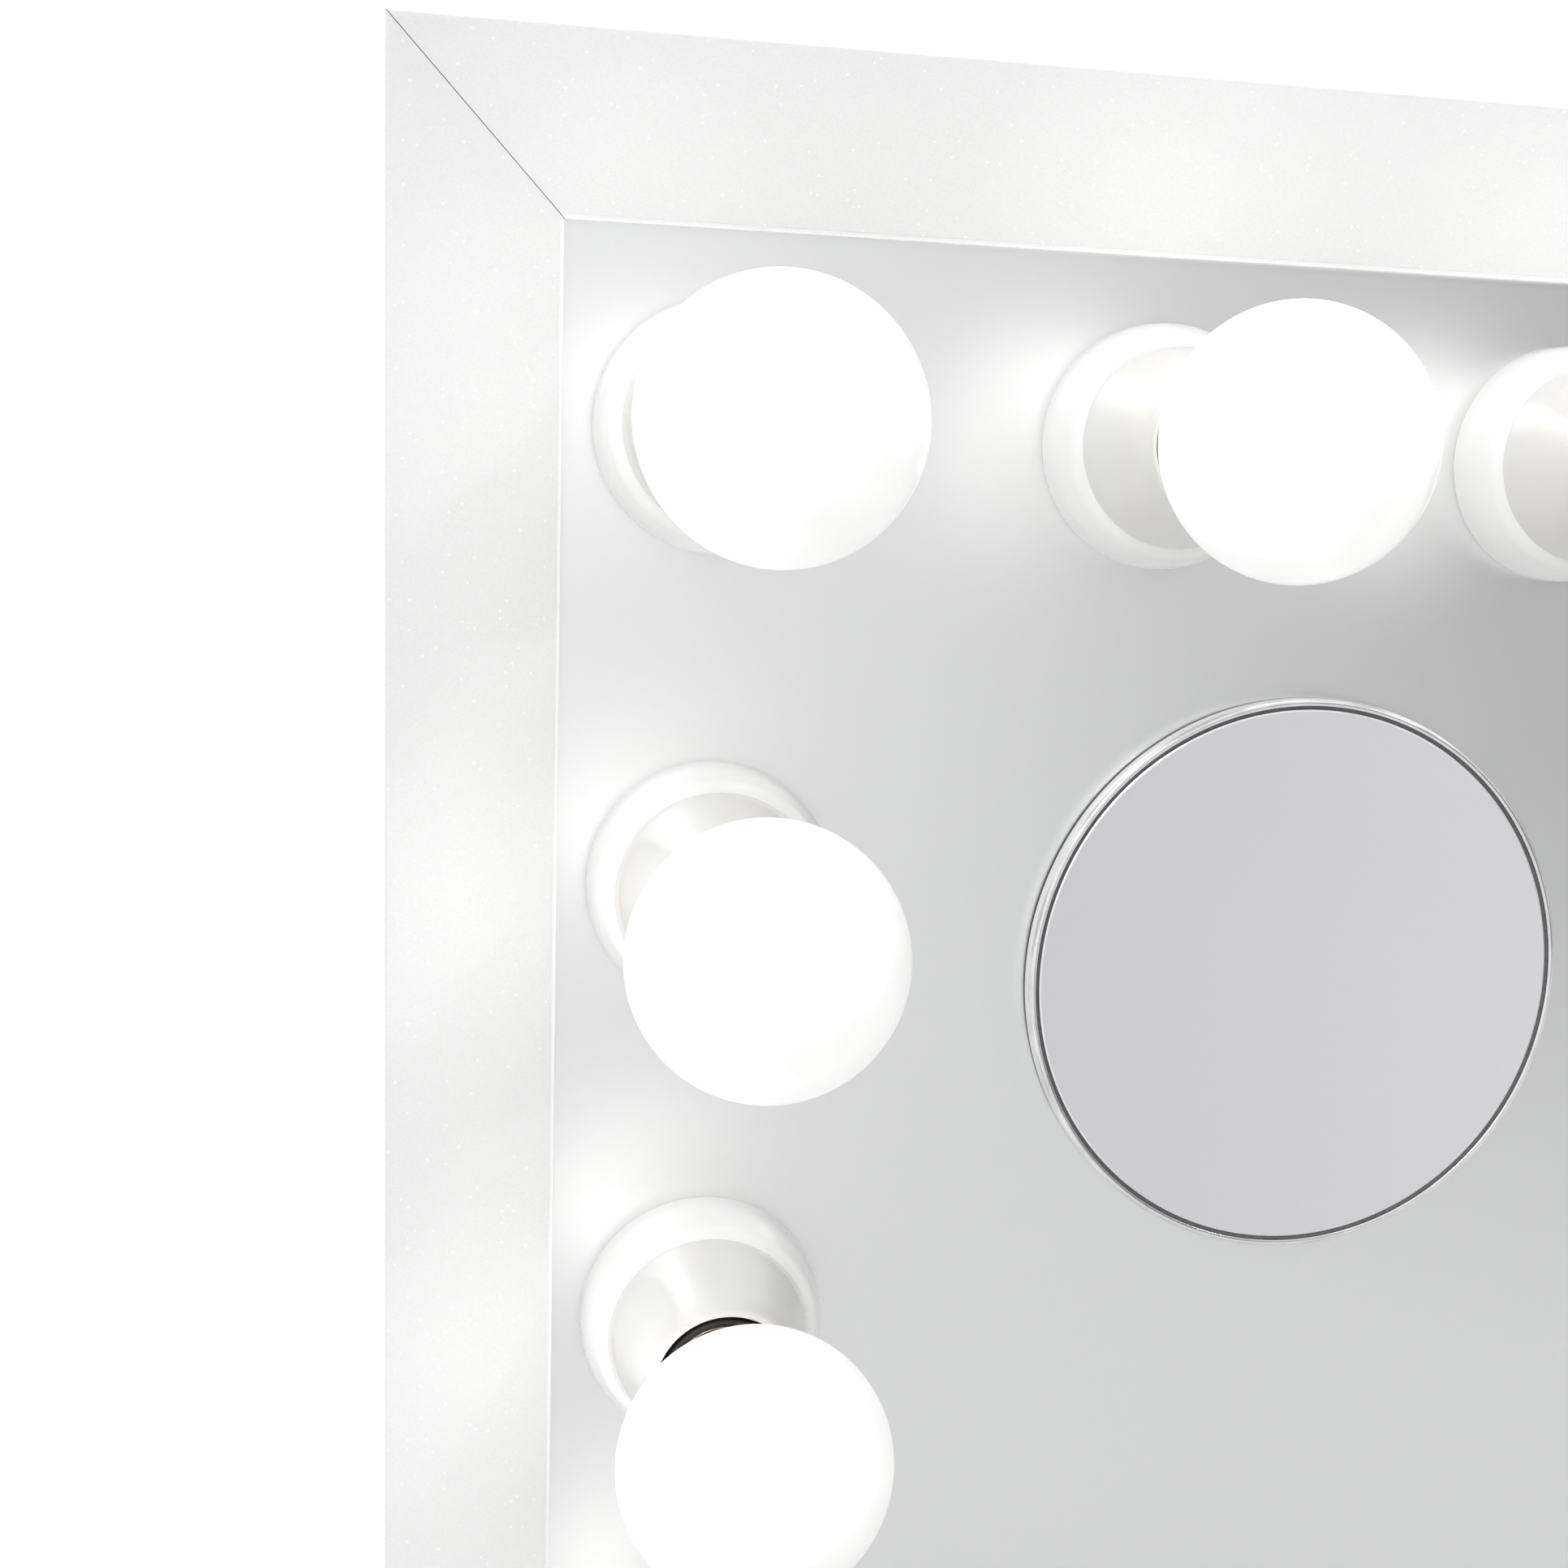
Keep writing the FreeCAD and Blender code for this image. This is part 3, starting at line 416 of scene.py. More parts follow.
def gloss_white(name, colour, pearl=0.0):
    material, tree, shader = finish(name, colour, 0.16, Coat_Weight=0.6, Coat_Roughness=0.05,
                                    Subsurface_Weight=0.08, Subsurface_Scale=0.003)
    where = place_on_piece(tree)
    flow = grain(tree, where, 22, 1.0)
    mottle = grain(tree, where, 900, 2.0)
    red, green, blue = colour
    link_nodes(tree, (tint(tree, flow, (red + pearl, green - pearl, blue - pearl),
                           (red - pearl, green + pearl, blue), 0.35, 0.65),
                      shader.inputs["Base Color"]),
               (map_range(tree, mottle, 0.3, 0.7, 0.13, 0.20), shader.inputs["Roughness"]))
    bump(tree, shader, flow, mm(0.06), 0.4)
    return material


opal = opal_finish()
skirt_white = gloss_white("skirt_white", (0.955, 0.955, 0.945), 0.004)
# The bell is the same white moulding as the skirt, painted greyer as shade because its steep sides face
# away from the light.
husk_painted_shade = gloss_white("husk_painted_shade", (0.80, 0.785, 0.765), 0.010)

# %% [markdown]
# The metals share one recipe: a bright metallic base, a roughness that wanders, and a fine mottle, with
# a shallow bump on the zinc and the satin silver. Nickel is for the lamp caps, plated brass for the
# shells, zinc for fixings, a satin silver for the knob and the magnifier's dish, and a polished one for
# the magnifier's rim.

# %% Metals
def metal(name, colour, roughness, mottle_scale, depth=0.0):
    material, tree, shader = finish(name, colour, roughness, 1.0)
    where = place_on_piece(tree)
    mottle = grain(tree, where, mottle_scale, 3.0, 0.6)
    link_nodes(tree, (tint(tree, mottle, tuple(c * 0.86 for c in colour), colour),
                      shader.inputs["Base Color"]),
               (map_range(tree, mottle, 0.3, 0.7, roughness * 0.75, roughness * 1.35),
                shader.inputs["Roughness"]))
    if depth:
        bump(tree, shader, mottle, depth, 0.5)
    return material


nickel = metal("nickel", (0.80, 0.77, 0.70), 0.22, 700)
brass = metal("plated_brass", (0.80, 0.74, 0.62), 0.24, 500)
zinc = metal("zinc", (0.68, 0.69, 0.71), 0.36, 260, mm(0.03))
satin_silver = metal("satin_silver", (0.90, 0.90, 0.92), 0.24, 800, mm(0.01))
polished_rim = metal("polished_rim", (0.97, 0.97, 0.98), 0.15, 120)

# %% [markdown]
# What is left is paint, plastic, rubber and board. Each is a base colour broken up by a grain of the
# right size: orange peel on sheet paint, a moulded mottle on black phenolic, fibres in the board.

# %% Paint, plastics, rubber, board
def plain_grain(name, low, high, roughness, scale, depth, stretch=(1.0, 1.0, 1.0)):
    material, tree, shader = finish(name, high, roughness)
    mottle = grain(tree, place_on_piece(tree, stretch), scale, 3.0, 0.6)
    link_nodes(tree, (tint(tree, mottle, low, high), shader.inputs["Base Color"]),
               (map_range(tree, mottle, 0.3, 0.7, roughness * 0.88, roughness * 1.12),
                shader.inputs["Roughness"]))
    bump(tree, shader, mottle, depth, 0.6)
    return material


foot_white = powder_coat("foot_white", 0.86)
sheet_white = plain_grain("sheet_white", (0.60, 0.60, 0.60), (0.66, 0.66, 0.655), 0.38, 420, mm(0.08))
phenolic = plain_grain("phenolic", (0.014, 0.013, 0.013), (0.032, 0.030, 0.029), 0.34, 650, mm(0.04))
white_plastic = plain_grain("white_plastic", (0.74, 0.74, 0.73), (0.80, 0.80, 0.79), 0.45, 800, mm(0.03))
vinyl = plain_grain("vinyl", (0.70, 0.70, 0.68), (0.77, 0.77, 0.75), 0.42, 300, mm(0.03))
rubber = plain_grain("rubber", (0.020, 0.020, 0.021), (0.042, 0.042, 0.043), 0.82, 900, mm(0.12))
foam = plain_grain("foam", (0.05, 0.05, 0.055), (0.09, 0.09, 0.095), 0.92, 1300, mm(0.2))
fibre_board = plain_grain("fibre_board", (0.30, 0.20, 0.12), (0.47, 0.34, 0.21), 0.8, 240, mm(0.15),
                          (3.0, 1.0, 1.0))
mark_grey = plain_grain("mark_grey", (0.10, 0.10, 0.11), (0.15, 0.15, 0.16), 0.5, 900, mm(0.02))


def paper_sweep():
    material, tree, shader = finish("floor_paper", (0.95, 0.95, 0.95), 0.8, Specular_IOR_Level=0.2)
    where = place_on_piece(tree)
    apart = tree.nodes.new("ShaderNodeSeparateXYZ")
    tree.links.new(where, apart.inputs["Vector"])
    pulp = grain(tree, where, 600, 2.0)
    # painted shade: the paper is made grey towards the viewer, so the glass shows grey low down
    link_nodes(tree, (tint(tree, map_range(tree, apart.outputs["Y"], -0.25, 0.45, 0.0, 1.0),
                           (0.60, 0.60, 0.60), (0.97, 0.97, 0.97), 0.0, 1.0), shader.inputs["Base Color"]))
    bump(tree, shader, pulp, mm(0.03), 0.3)
    return material


floor.data.materials.append(paper_sweep())
print("materials", len(bpy.data.materials))

# %% [markdown]
# Nearly every small part of this mirror is round: it was turned, spun or moulded about one axis. So
# the main modelling helper is a lathe. It takes a profile of (radius, height above the glass) and turns
# it about an axis that points at the viewer. A corner given with a third number is rounded to that
# radius first, because real edges always catch a line of light. The profile may also be a function of
# the angle, which is how a screw thread is cut.

# %% The lathe
def soften(corners, steps=5):
    """Rounds the corners that carry a third number; a corner is cut back by at most half its sides."""
    points = []
    count = len(corners)
    for i, corner in enumerate(corners):
        here = Vector(corner[:2])
        if len(corner) < 3:
            points.append(here)
            continue
        before = Vector(corners[i - 1][:2]) - here
        after = Vector(corners[(i + 1) % count][:2]) - here
        reach = min(corner[2], before.length / 2, after.length / 2)
        start, end = here + before.normalized() * reach, here + after.normalized() * reach
        for step in range(steps + 1):
            t = step / steps
            points.append(start * (1 - t) ** 2 + here * 2 * t * (1 - t) + end * t ** 2)
    return points


def turn(name, profile, axis=Vector((0, 0, 0)), segments=96, closed=True, sharp=40):
    """A mesh of revolution about the line through axis along Y; heights run towards the viewer."""
    shape = profile if callable(profile) else lambda angle: profile
    form = bmesh.new()
    rings = []
    poles = {}
    for k in range(segments):
        angle = math.tau * k / segments
        ring = []
        for i, (radius, height) in enumerate(shape(angle)):
            at_pole = radius < 1e-6
            if at_pole and i in poles:
                ring.append(poles[i])
                continue
            spot = form.verts.new((axis.x + mm(radius) * math.cos(angle), axis.y - mm(height),
                                   axis.z + mm(radius) * math.sin(angle)))
            if at_pole:
                poles[i] = spot
            ring.append(spot)
        rings.append(ring)
    steps = len(rings[0]) if closed else len(rings[0]) - 1
    for k, ring in enumerate(rings):
        following = rings[(k + 1) % segments]
        for i in range(steps):
            j = (i + 1) % len(ring)
            corners = list(dict.fromkeys((ring[i], ring[j], following[j], following[i])))
            if len(corners) > 2:
                form.faces.new(corners)
    return to_mesh(name, form, sharp)


def to_mesh(name, form, sharp=40):
    bmesh.ops.remove_doubles(form, verts=form.verts, dist=1e-7)
    bmesh.ops.recalc_face_normals(form, faces=form.faces)
    mesh = bpy.data.meshes.new(name)
    form.to_mesh(mesh)
    form.free()
    mesh.shade_smooth()
    mesh.set_sharp_from_angle(angle=math.radians(sharp))
    return mesh


def piece(name, mesh, body, material=None, stands_for=()):
    """Puts a finished mesh in the scene, on its body, in place of the plain nodes it stands for."""
    thing = bpy.data.objects.new(name, mesh)
    bpy.context.scene.collection.objects.link(thing)
    if material:
        mesh.materials.clear()
        mesh.materials.append(material)
    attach(thing, body)
    if stands_for:
        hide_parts(*stands_for)
    return thing


print("lathe ready")

# %% [markdown]
# The frame has four rails of one section, cut at 45 degrees. The section slopes from a proud outer edge
# down to a thin lip on the glass, and wraps round the back as a shallow channel. Each rail is the section
# drawn along its side, with every point's run shortened by how far inwards it lies: that makes the
# mitre. A hair of a gap is left at the joint, which is what shows as the fine dark line at the corner.
# The lip is set down from the slope by a small step. It gets a whiter colour than the slope, a
# painted highlight that draws a thin bright line along the glass where the edge catches the light.

# %% The frame rails
RAIL_FACE = (case_high.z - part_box("frame_top_rail")[0].z) * 1000
RAIL_FRONT = (glass_y - case_low.y) * 1000
RAIL_BACK = (case_high.y - glass_y) * 1000
RAIL_WALL = 1.6
RAIL_FLANGE = 14
SLOPE_END = 3.2
LIP = 1.3
LIP_FRONT = 2.3
MITRE_GAP = 0.3

rail_section = soften([
    (0, RAIL_FRONT, 1.5), (RAIL_FACE - LIP, SLOPE_END, 0.15), (RAIL_FACE - LIP, LIP_FRONT, 0.1),
    (RAIL_FACE, LIP_FRONT, 0.5), (RAIL_FACE, 0), (RAIL_WALL, 0), (RAIL_WALL, RAIL_WALL - RAIL_BACK),
    (RAIL_FLANGE, RAIL_WALL - RAIL_BACK), (RAIL_FLANGE, -RAIL_BACK), (0, -RAIL_BACK, 1.2)])


def rail(name, corner_a, corner_b, inwards):
    along = (corner_b - corner_a).normalized()
    half = (corner_b - corner_a).length / 2
    centre = (corner_a + corner_b) / 2
    form = bmesh.new()
    ends = []
    for side in (-1, 1):
        ring = []
        for depth, front in rail_section:
            run = half - mm(depth) - mm(MITRE_GAP / 2)
            spot = centre + along * side * run + inwards * mm(depth)
            ring.append(form.verts.new((spot.x, glass_y - mm(front), spot.z)))
        ends.append(ring)
    count = len(rail_section)
    for i in range(count):
        j = (i + 1) % count
        form.faces.new((ends[0][i], ends[0][j], ends[1][j], ends[1][i]))
    form.faces.new(ends[0])
    form.faces.new(reversed(ends[1]))
    made = piece(name, to_mesh(name, form, 30), "mirror_case", frame_white,
                 ["frame_" + name])
    # the lip's faces take the whiter coat, a painted highlight along the glass
    made.data.materials.append(lip_painted_highlight)
    lip_from = corner_a.dot(inwards) + mm(RAIL_FACE - LIP - 0.05)
    for face in made.data.polygons:
        if face.center.dot(inwards) > lip_from and face.center.y < glass_y:
            face.material_index = 1
    return made


left, right, base, top = case_low.x, case_high.x, case_low.z, case_high.z
corners = {"top_left": Vector((left, 0, top)), "top_right": Vector((right, 0, top)),
           "low_left": Vector((left, 0, base)), "low_right": Vector((right, 0, base))}
rail("top_rail", corners["top_left"], corners["top_right"], Vector((0, 0, -1)))
rail("bottom_rail", corners["low_left"], corners["low_right"], Vector((0, 0, 1)))
rail("left_stile", corners["low_left"], corners["top_left"], Vector((1, 0, 0)))
rail("right_stile", corners["low_right"], corners["top_right"], Vector((-1, 0, 0)))
print("four rails, section of", len(rail_section), "points")

# %% [markdown]
# Fourteen holders stand in a row up one side, across the top and down the other. That is a rule, so
# Geometry Nodes set them out: three lines of points, one holder instanced on each, then realized and
# given its material. The tree takes any part as its input, so one tree sets out skirts, husks, cores
# and shells alike.

# %% A tree that sets a part at every lamp
def new_tree(name, inputs):
    tree = bpy.data.node_groups.new(name, "GeometryNodeTree")
    tree.interface.new_socket("Geometry", in_out="INPUT", socket_type="NodeSocketGeometry")
    for label, kind, value in inputs:
        socket = tree.interface.new_socket(label, in_out="INPUT", socket_type=kind)
        if value is not None:
            socket.default_value = value
    tree.interface.new_socket("Geometry", in_out="OUTPUT", socket_type="NodeSocketGeometry")
    tree.nodes.new("NodeGroupInput")
    tree.nodes.new("NodeGroupOutput")
    return tree


def finish_tree(tree, geometry):
    """Ends a tree: instances made real, then the material set."""
    inlet, outlet = tree.nodes["Group Input"], tree.nodes["Group Output"]
    realize = tree.nodes.new("GeometryNodeRealizeInstances")
    paint = tree.nodes.new("GeometryNodeSetMaterial")
    link_nodes(tree, (geometry, realize.inputs["Geometry"]),
               (realize.outputs["Geometry"], paint.inputs["Geometry"]),
               (inlet.outputs["Material"], paint.inputs["Material"]),
               (paint.outputs["Geometry"], outlet.inputs["Geometry"]))


def combine(tree, x, y, z):
    node = tree.nodes.new("ShaderNodeCombineXYZ")
    feed(tree, node.inputs, (x, y, z))
    return node.outputs["Vector"]


def point_line(tree, count, start, step):
    node = tree.nodes.new("GeometryNodeMeshLine")
    node.mode = "OFFSET"
    for name, value in (("Count", count), ("Start Location", start), ("Offset", step)):
        tree.links.new(value, node.inputs[name])
    return node.outputs["Mesh"]


def lamp_row_tree():
    tree = new_tree("set_at_every_lamp", [
        ("Across", "NodeSocketInt", 6), ("Down", "NodeSocketInt", 4), ("Span", "NodeSocketFloat", 0.6),
        ("Drop", "NodeSocketFloat", 0.12), ("Top", "NodeSocketFloat", 0.5),
        ("Glass", "NodeSocketFloat", 0.0), ("Material", "NodeSocketMaterial", None)])
    given = tree.nodes["Group Input"].outputs
    half = maths(tree, "MULTIPLY", given["Span"], 0.5)
    left_x = maths(tree, "MULTIPLY", half, -1.0)
    gaps = maths(tree, "SUBTRACT", given["Across"], 1.0)
    pitch = maths(tree, "DIVIDE", given["Span"], gaps)
    fall = maths(tree, "MULTIPLY", given["Drop"], -1.0)
    second = maths(tree, "SUBTRACT", given["Top"], given["Drop"])
    join = tree.nodes.new("GeometryNodeJoinGeometry")
    lines = (
        point_line(tree, given["Across"], combine(tree, left_x, given["Glass"], given["Top"]),
                   combine(tree, pitch, 0.0, 0.0)),
        point_line(tree, given["Down"], combine(tree, left_x, given["Glass"], second),
                   combine(tree, 0.0, 0.0, fall)),
        point_line(tree, given["Down"], combine(tree, half, given["Glass"], second),
                   combine(tree, 0.0, 0.0, fall)))
    for line in lines:
        tree.links.new(line, join.inputs["Geometry"])
    place = tree.nodes.new("GeometryNodeInstanceOnPoints")
    link_nodes(tree, (join.outputs["Geometry"], place.inputs["Points"]),
               (given["Geometry"], place.inputs["Instance"]))
    finish_tree(tree, place.outputs["Instances"])
    return tree


def grow(name, master, tree, **values):
    """Runs a tree on a master mesh and returns the result as a plain mesh."""
    thing = bpy.data.objects.new(name, master)
    bpy.context.scene.collection.objects.link(thing)
    modifier = thing.modifiers.new("grow", "NODES")
    modifier.node_group = tree
    labels = {item.name: item.identifier for item in tree.interface.items_tree
              if item.in_out == "INPUT"}
    for label, value in values.items():
        modifier[labels[label]] = value
    graph = bpy.context.evaluated_depsgraph_get()
    mesh = bpy.data.meshes.new_from_object(thing.evaluated_get(graph))
    mesh.name = name
    bpy.data.objects.remove(thing)
    return mesh


lamp_tree = lamp_row_tree()
lamp_row = dict(Across=6, Down=4, Span=2 * half_span, Drop=(top_z - low_z) / 4, Top=top_z, Glass=glass_y)
print("lamp row", {key: round(value, 4) for key, value in lamp_row.items()})

# %% [markdown]
# A holder is a low skirt on the glass with a rounded shoulder, and a bell above it that narrows to the
# lamp's neck. Between them is a crisp step. The skirt has the moulding's white, and the bell is the same
# moulding painted greyer as shade, so the skirt reads as a bright ring and the bell as a greyer cone.
# Inside the bell are the black core and, from the next cell, the plated screw shell.

# %% Skirts and husks
skirt_profile = soften([
    (32.7, 0.0), (33.0, 0.5, 0.3), (32.8, 9.0, 6.0), (29.6, 17.0, 4.0), (27.2, 18.9, 0.8), (26.9, 19.0),
    (24.6, 19.0), (24.6, 12.0), (5.2, 12.0), (5.2, 10.0), (31.0, 10.0), (31.0, 0.0)])
husk_profile = soften([
    (26.95, 19.02), (25.9, 24.0, 4.0), (23.2, 34.0, 9.0), (20.4, 46.0, 8.0), (19.6, 53.4, 1.2),
    (19.2, 54.6, 0.7), (18.2, 54.6, 0.6), (17.9, 50.0, 2.0), (21.2, 36.0, 6.0), (24.8, 19.02)])
core_profile = soften([
    (5.1, 12.0), (16.5, 12.0), (16.5, 51.8, 0.7), (15.7, 52.0, 0.3), (14.6, 51.6, 0.5), (13.9, 49.5),
    (13.9, 18.0), (5.1, 18.0)])


def set_at_lamps(name, mesh, material, stands_for):
    grown = grow(name, mesh, lamp_tree, Material=material, **lamp_row)
    return piece(name, grown, "mirror_case", None, stands_for)


set_at_lamps("lamp_skirts", turn("skirt", skirt_profile), skirt_white, ["holder_skirts"])
set_at_lamps("lamp_husks", turn("husk", husk_profile), husk_painted_shade, ["holder_husks"])
set_at_lamps("lamp_cores", turn("core", core_profile, segments=64), phenolic,
             ["socket_cores"])
print("skirts, husks and cores set at", len(lamps), "places")

# %% [markdown]
# Lamp caps and screw shells have a rolled thread: a rounded wave that climbs one pitch in each turn.
# The lathe's profile is asked for again at every angle, with the wave moved on by that angle's share
# of a pitch, and the wave fades out at both ends so that the thread starts and stops.

# %% The rolled thread
THREAD_PITCH = 3.6
ROWS_PER_PITCH = 10
THREAD_FADE = 2.0


def thread(outer, depth, low, high, wall):
    rows = int((high - low) / THREAD_PITCH * ROWS_PER_PITCH)

    def at(angle):
        skin = []
        for row in range(rows + 1):
            height = low + (high - low) * row / rows
            fade = min(1.0, (height - low) / THREAD_FADE, (high - height) / THREAD_FADE)
            wave = 0.5 + 0.5 * math.cos(math.tau * height / THREAD_PITCH - angle)
            skin.append((outer - depth * (1 - wave) * fade, height))
        return skin + [(outer - depth - wall, high), (outer - depth - wall, low)]

    return at


set_at_lamps("lamp_screw_shells", turn("shell", thread(13.9, 0.35, 27.0, 49.4, 0.1), segments=48),
             brass, ["socket_shells"])

# %% [markdown]
# Each lamp rides on its own body, because it can be screwed out alone. Its globe and neck are one turned
# surface. The cap is nickel with the thread, then a black glass foot and a solder tip. The meshes are
# turned once and copied to every place.

# %% The lamps
GLOBE = radius_of("bulb_01")
GLOBE_CENTRE = front_of("bulb_01") - GLOBE
NECK = 14.2
NECK_START = 66.5


def globe_profile():
    """From the crown round the globe, through a soft hollow into the neck, to the cap's rim."""
    leave = math.radians(148)
    arc = [(GLOBE * math.sin(leave * i / 40), GLOBE_CENTRE + GLOBE * math.cos(leave * i / 40))
           for i in range(41)]
    start = Vector(arc[-1])
    hollow = [(NECK + (start.x - NECK) * (1 - t) ** 2, start.y + (NECK_START - start.y) * t)
              for t in (0.25, 0.5, 0.75, 1.0)]
    return arc + hollow + [(NECK, 57.0), (13.7, 55.2), (13.2, 54.4), (0.0, 54.4)]


cap_rim = soften([(12.4, 52.6), (13.3, 53.2, 0.3), (13.35, 54.6, 0.3), (12.4, 54.9)])
foot_profile = [(0, 28.0), (5.0, 28.0), (6.5, 28.6), (10.5, 30.4), (12.0, 31.2), (0, 31.2)]
tip_profile = [(0, 27.0), (2.6, 27.1), (3.8, 27.6), (4.2, 28.1), (0, 28.2)]
lamp_parts = {
    "globe": (turn("globe", globe_profile(), closed=False, sharp=50), "opal", opal),
    "screw_cap": (turn("screw_cap", thread(13.0, 0.75, 31.0, 53.4, 0.3), segments=48), "steel", nickel),
    "cap_rim": (turn("cap_rim", cap_rim, segments=64), "steel", nickel),
    "cap_foot": (turn("cap_foot", foot_profile, segments=48, closed=False), "socket_black", phenolic),
    "cap_tip": (turn("cap_tip", tip_profile, segments=32, closed=False), "steel", zinc),
}


def screw_in_lamps():
    for name, spot in lamps.items():
        place = Matrix.Translation((spot.x, glass_y, spot.z))
        for part, (mesh, slot, material) in lamp_parts.items():
            own = mesh.copy()
            own.transform(place)
            stands_for = [f"bulb_{name}"] if part == "globe" else ()
            piece(f"{part}_{name}", own, f"lamp_{name}", material, stands_for)


screw_in_lamps()
print("lamps", len(lamps), "each of", len(lamp_parts), "pieces; globe radius", round(GLOBE, 2))

# %% [markdown]
# The magnifier is a shallow round dish: a bright thin rim, a dark groove just inside it, and a slightly
# hollow mirror in a spun dish. It stands a little off the big glass on its magnets. A thin dark ring is
# drawn in that gap as painted shadow under the rim, and a dark grey ring in the groove as painted shade
# there. Neither is in the engineering model, nor is the hollow, and all three are guesses; the two dark
# rings make the rim's dark lines.

# %% The magnifying mirror
lens_axis = Vector((lens.x, glass_y, lens.z))
LENS = radius_of("magnifier_glass")
RIM = radius_of("magnifier_rim")
RIM_FRONT = front_of("magnifier_rim")
RIM_BACK = back_of("magnifier_rim")
HOLLOW = 3.2
DISH_WALL = 0.8
DISH_FRONT = RIM_BACK + DISH_WALL


def lens_profile():
    """A hollow face with a ground edge, lying flat on the dish."""
    front = RIM_FRONT - 0.5
    face = [(LENS * 0.994 * i / 32, front - HOLLOW * (1 - (i / 32) ** 2)) for i in range(33)]
    return face + [(LENS, front - 0.3), (LENS, DISH_FRONT), (0.0, DISH_FRONT)]


def magnifier_part(name, profile, material, closed=True, stands_for=()):
    mesh = turn(name, profile, lens_axis, 192, closed, 30)
    return piece(f"magnifier_{name}", mesh, "magnifier", material, stands_for)


inner = RIM - 2.0
magnifier_part("face", lens_profile(), lens_mirror, False, ["magnifier_glass"])
magnifier_part("dish", soften([
    (0, DISH_FRONT), (inner - 0.1, DISH_FRONT, 0.3), (inner - 0.1, RIM_BACK, 0.3), (0, RIM_BACK)]),
    satin_silver, False, ["magnifier_back"])
magnifier_part("bezel", soften([
    (RIM - 0.3, RIM_BACK, 0.2), (RIM, RIM_BACK + 0.6, 0.3), (RIM, RIM_FRONT - 1.0, 0.8),
    (RIM - 0.8, RIM_FRONT, 0.6), (inner, RIM_FRONT - 0.2, 0.3), (inner, RIM_BACK)]),
    polished_rim, True, ["magnifier_rim"])
# painted shade: a dark grey ring filling the groove between the rim and the mirror face
magnifier_part("groove_shade", [
    (LENS + 0.05, DISH_FRONT), (inner - 0.05, DISH_FRONT), (inner - 0.05, RIM_FRONT - 0.9),
    (LENS + 0.05, RIM_FRONT - 1.3)], mark_grey)
# painted shadow: a dark foam ring in the gap between the rim and the big glass
magnifier_part("shadow_ring", soften([
    (RIM - 4.0, RIM_BACK - 0.02), (RIM - 4.0, 0.2), (RIM - 0.3, 0.2, 0.2), (RIM - 0.3, RIM_BACK - 0.02)]),
    foam)
print("magnifier radius", round(RIM, 2), "front", round(RIM_FRONT, 2))

# %% [markdown]
# The knob is turned from bar with straight ribs round its grip. The ribs repeat, so a small tree sets
# them round a circle. A rib is a thin rounded bar, and the tree turns each to face outwards.

# %% The dimmer knob
knob_axis = Vector((knob.x, glass_y, knob.z))
KNOB = radius_of("dimmer_knob")
KNOB_FRONT = front_of("dimmer_knob")
KNOB_BACK = back_of("dimmer_knob")
RIBS = 40


def ring_tree():
    tree = new_tree("set_round_a_circle", [
        ("Count", "NodeSocketInt", 12), ("Radius", "NodeSocketFloat", 0.01),
        ("Material", "NodeSocketMaterial", None)])
    given = tree.nodes["Group Input"].outputs
    circle = tree.nodes.new("GeometryNodeMeshCircle")
    turn_upright = tree.nodes.new("GeometryNodeTransform")
    turn_upright.inputs["Rotation"].default_value = (math.pi / 2, 0.0, 0.0)
    place = tree.nodes.new("GeometryNodeInstanceOnPoints")
    aim = tree.nodes.new("FunctionNodeAlignRotationToVector")
    aim.axis = "X"
    aim.pivot_axis = "Y"
    link_nodes(tree, (given["Count"], circle.inputs["Vertices"]),
               (given["Radius"], circle.inputs["Radius"]),
               (circle.outputs["Mesh"], turn_upright.inputs["Geometry"]),
               (turn_upright.outputs["Geometry"], place.inputs["Points"]),
               (given["Geometry"], place.inputs["Instance"]),
               (tree.nodes.new("GeometryNodeInputPosition").outputs["Position"], aim.inputs["Vector"]),
               (aim.outputs["Rotation"], place.inputs["Rotation"]))
    finish_tree(tree, place.outputs["Instances"])
    return tree


def bar_mesh(name, low, high, edge, steps=3):
    """A block with rounded edges."""
    form = bmesh.new()
    bmesh.ops.create_cube(form, size=1.0)
    low, high = Vector(low), Vector(high)
    for vert in form.verts:
        vert.co = Vector([(low[i] + high[i]) / 2 + vert.co[i] * (high[i] - low[i]) for i in range(3)])
    bmesh.ops.bevel(form, geom=form.edges[:] + form.verts[:], offset=edge, segments=steps, profile=0.5,
                    affect="EDGES", clamp_overlap=True)
    return to_mesh(name, form, 30)


knob_profile = soften([
    (0.0, KNOB_FRONT - 0.3), (KNOB - 4.0, KNOB_FRONT, 0.6), (KNOB - 2.6, KNOB_FRONT - 0.6, 0.8),
    (KNOB - 1.3, KNOB_FRONT - 2.0, 0.8), (KNOB - 0.5, KNOB_BACK + 3.4, 0.4), (KNOB, KNOB_BACK + 2.6, 0.5),
    (KNOB, KNOB_BACK, 0.3), (KNOB - 3.0, KNOB_BACK, 0.2), (KNOB - 3.0, KNOB_BACK + 4.0),
    (0.0, KNOB_BACK + 4.0)])
piece("knob_shell", turn("knob_shell", knob_profile, knob_axis, 96, False), "knob",
      satin_silver, ["dimmer_knob"])
rib = bar_mesh("rib", mm(-0.35, -(KNOB_FRONT - 3.0), -0.28), mm(0.35, -(KNOB_BACK + 3.6), 0.28), mm(0.2), 2)
ribs = grow("knob_ribs", rib, ring_tree(), Count=RIBS, Radius=mm(KNOB - 0.85), Material=satin_silver)
ribs.transform(Matrix.Translation(knob_axis))
piece("knob_ribs", ribs, "knob")
print("knob radius", round(KNOB, 2), "with", RIBS, "ribs")

# %% [markdown]
# Screws hold the cover and the feet. The cover's heads show most, so they are drawn finer: one head is
# turned, and a cross is cut into it with a boolean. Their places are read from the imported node, where
# each separate screw is a loose island of the mesh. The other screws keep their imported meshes.

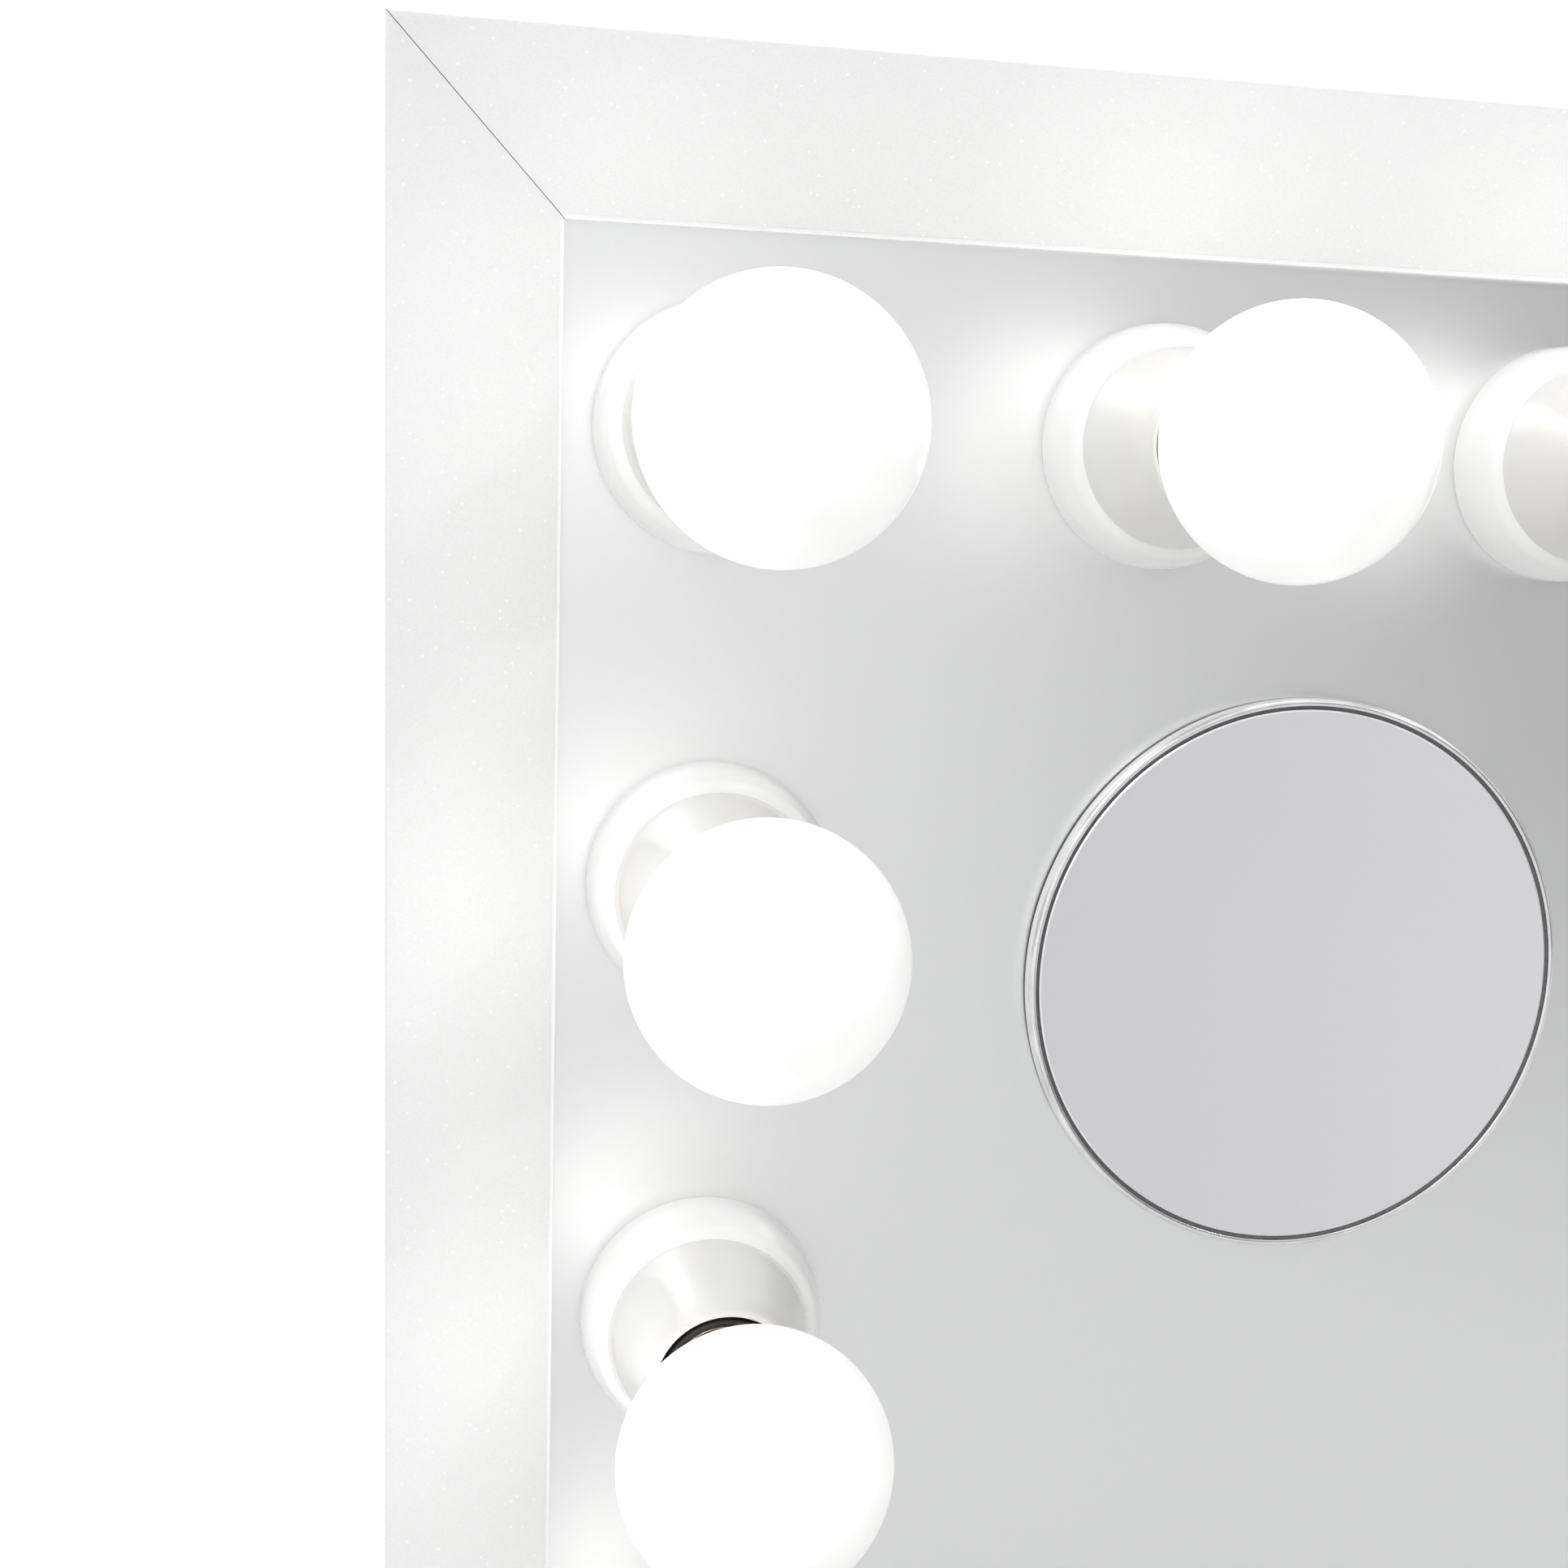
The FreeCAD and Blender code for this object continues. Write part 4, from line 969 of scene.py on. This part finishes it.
# %% Screws
def islands(node):
    """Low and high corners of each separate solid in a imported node."""
    form = bmesh.new()
    form.from_mesh(frame["nodes"][node].data)
    bmesh.ops.remove_doubles(form, verts=form.verts, dist=1e-6)
    unseen = set(form.verts)
    found = []
    while unseen:
        queue = [unseen.pop()]
        members = []
        while queue:
            vert = queue.pop()
            members.append(vert.co.copy())
            for edge in vert.link_edges:
                other = edge.other_vert(vert)
                if other in unseen:
                    unseen.remove(other)
                    queue.append(other)
        found.append(corners_of(members))
    form.free()
    return found


def corners_of(points):
    low = Vector([min(p[i] for p in points) for i in range(3)])
    high = Vector([max(p[i] for p in points) for i in range(3)])
    return low, high


def screw_head(radius, height):
    """A pan head with a cross recess; its seat is at height 0."""
    profile = soften([
        (0.0, height), (radius * 0.55, height, 0.5), (radius, height * 0.45, 0.6), (radius, 0.0),
        (0.0, 0.0)])
    head = bpy.data.objects.new("head", turn("head", profile, segments=40, closed=False))
    cutters = []
    for wide, tall in ((radius * 1.1, radius * 0.24), (radius * 0.24, radius * 1.1)):
        form = bmesh.new()
        bmesh.ops.create_cube(form, size=1.0)
        for vert in form.verts:
            vert.co = Vector((vert.co.x * mm(wide), mm(-height) + vert.co.y * mm(height * 1.1),
                              vert.co.z * mm(tall)))
        cutters.append(bpy.data.objects.new("cutter", to_mesh("cutter", form)))
    for thing in (head, *cutters):
        bpy.context.scene.collection.objects.link(thing)
    for cutter in cutters:
        modifier = head.modifiers.new("cross", "BOOLEAN")
        modifier.operation = "DIFFERENCE"
        modifier.object = cutter
    mesh = bpy.data.meshes.new_from_object(head.evaluated_get(bpy.context.evaluated_depsgraph_get()))
    for thing in (head, *cutters):
        bpy.data.objects.remove(thing)
    return mesh


def join_meshes(name, meshes):
    form = bmesh.new()
    for mesh in meshes:
        form.from_mesh(mesh)
    return to_mesh(name, form, 35)


def fit_screws(name, node, head, height):
    """Stands a head on each screw's place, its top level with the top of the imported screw."""
    placed = []
    for low, high in islands(node):
        centre = (low + high) / 2
        seat = Vector((centre.x, high.y - mm(height), centre.z))
        copy = head.copy()
        copy.transform(Matrix.Translation(seat) @ Matrix.Rotation(math.pi, 4, "X"))
        placed.append(copy)
    return piece(name, join_meshes(name, placed), "mirror_case", zinc, [node])


HEAD_RADIUS = 3.8
HEAD_HEIGHT = 2.0
fit_screws("cover_screw_heads", "back_cover_screws", screw_head(HEAD_RADIUS, HEAD_HEIGHT), HEAD_HEIGHT)
print("cover screws", len(islands("back_cover_screws")))

# %% [markdown]
# The feet are flat steel bars, coated like the frame, on short rubber pads. The bars keep their packed
# meshes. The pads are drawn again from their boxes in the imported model, with eased edges.

# %% Foot pads
def ease(node, name, body, material, edge):
    meshes = [bar_mesh(name, low, high, edge) for low, high in islands(node)]
    return piece(name, join_meshes(name, meshes), body, material, [node])


for side in ("left", "right"):
    ease(f"{side}_foot_pads", f"{side}_pads", "mirror_case", rubber, mm(0.6))
print("foot pads eased")

# %% [markdown]
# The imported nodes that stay, such as the case's inside, the cover with its vents and the mains inlet,
# keep their own meshes and take the finish of their material slot.

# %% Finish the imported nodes
slot_finish = {
    "powder_white": frame_white, "foot_white": foot_white, "cover_white": sheet_white, "steel": zinc,
    "mirror": glass_mirror, "foam": foam, "board": fibre_board, "holder_white": skirt_white,
    "socket_black": phenolic, "brass": brass, "opal": opal, "rim_silver": satin_silver,
    "white_plastic": white_plastic, "mark_grey": mark_grey, "lead_white": vinyl, "rubber": rubber}


def dress_nodes():
    for entry in frame["record"]["subparts"]:
        node = frame["nodes"][entry["node"]]
        for holder in node.material_slots:
            holder.material = slot_finish[entry["material_slot"]]


dress_nodes()
print("packed nodes dressed", len(frame["nodes"]))
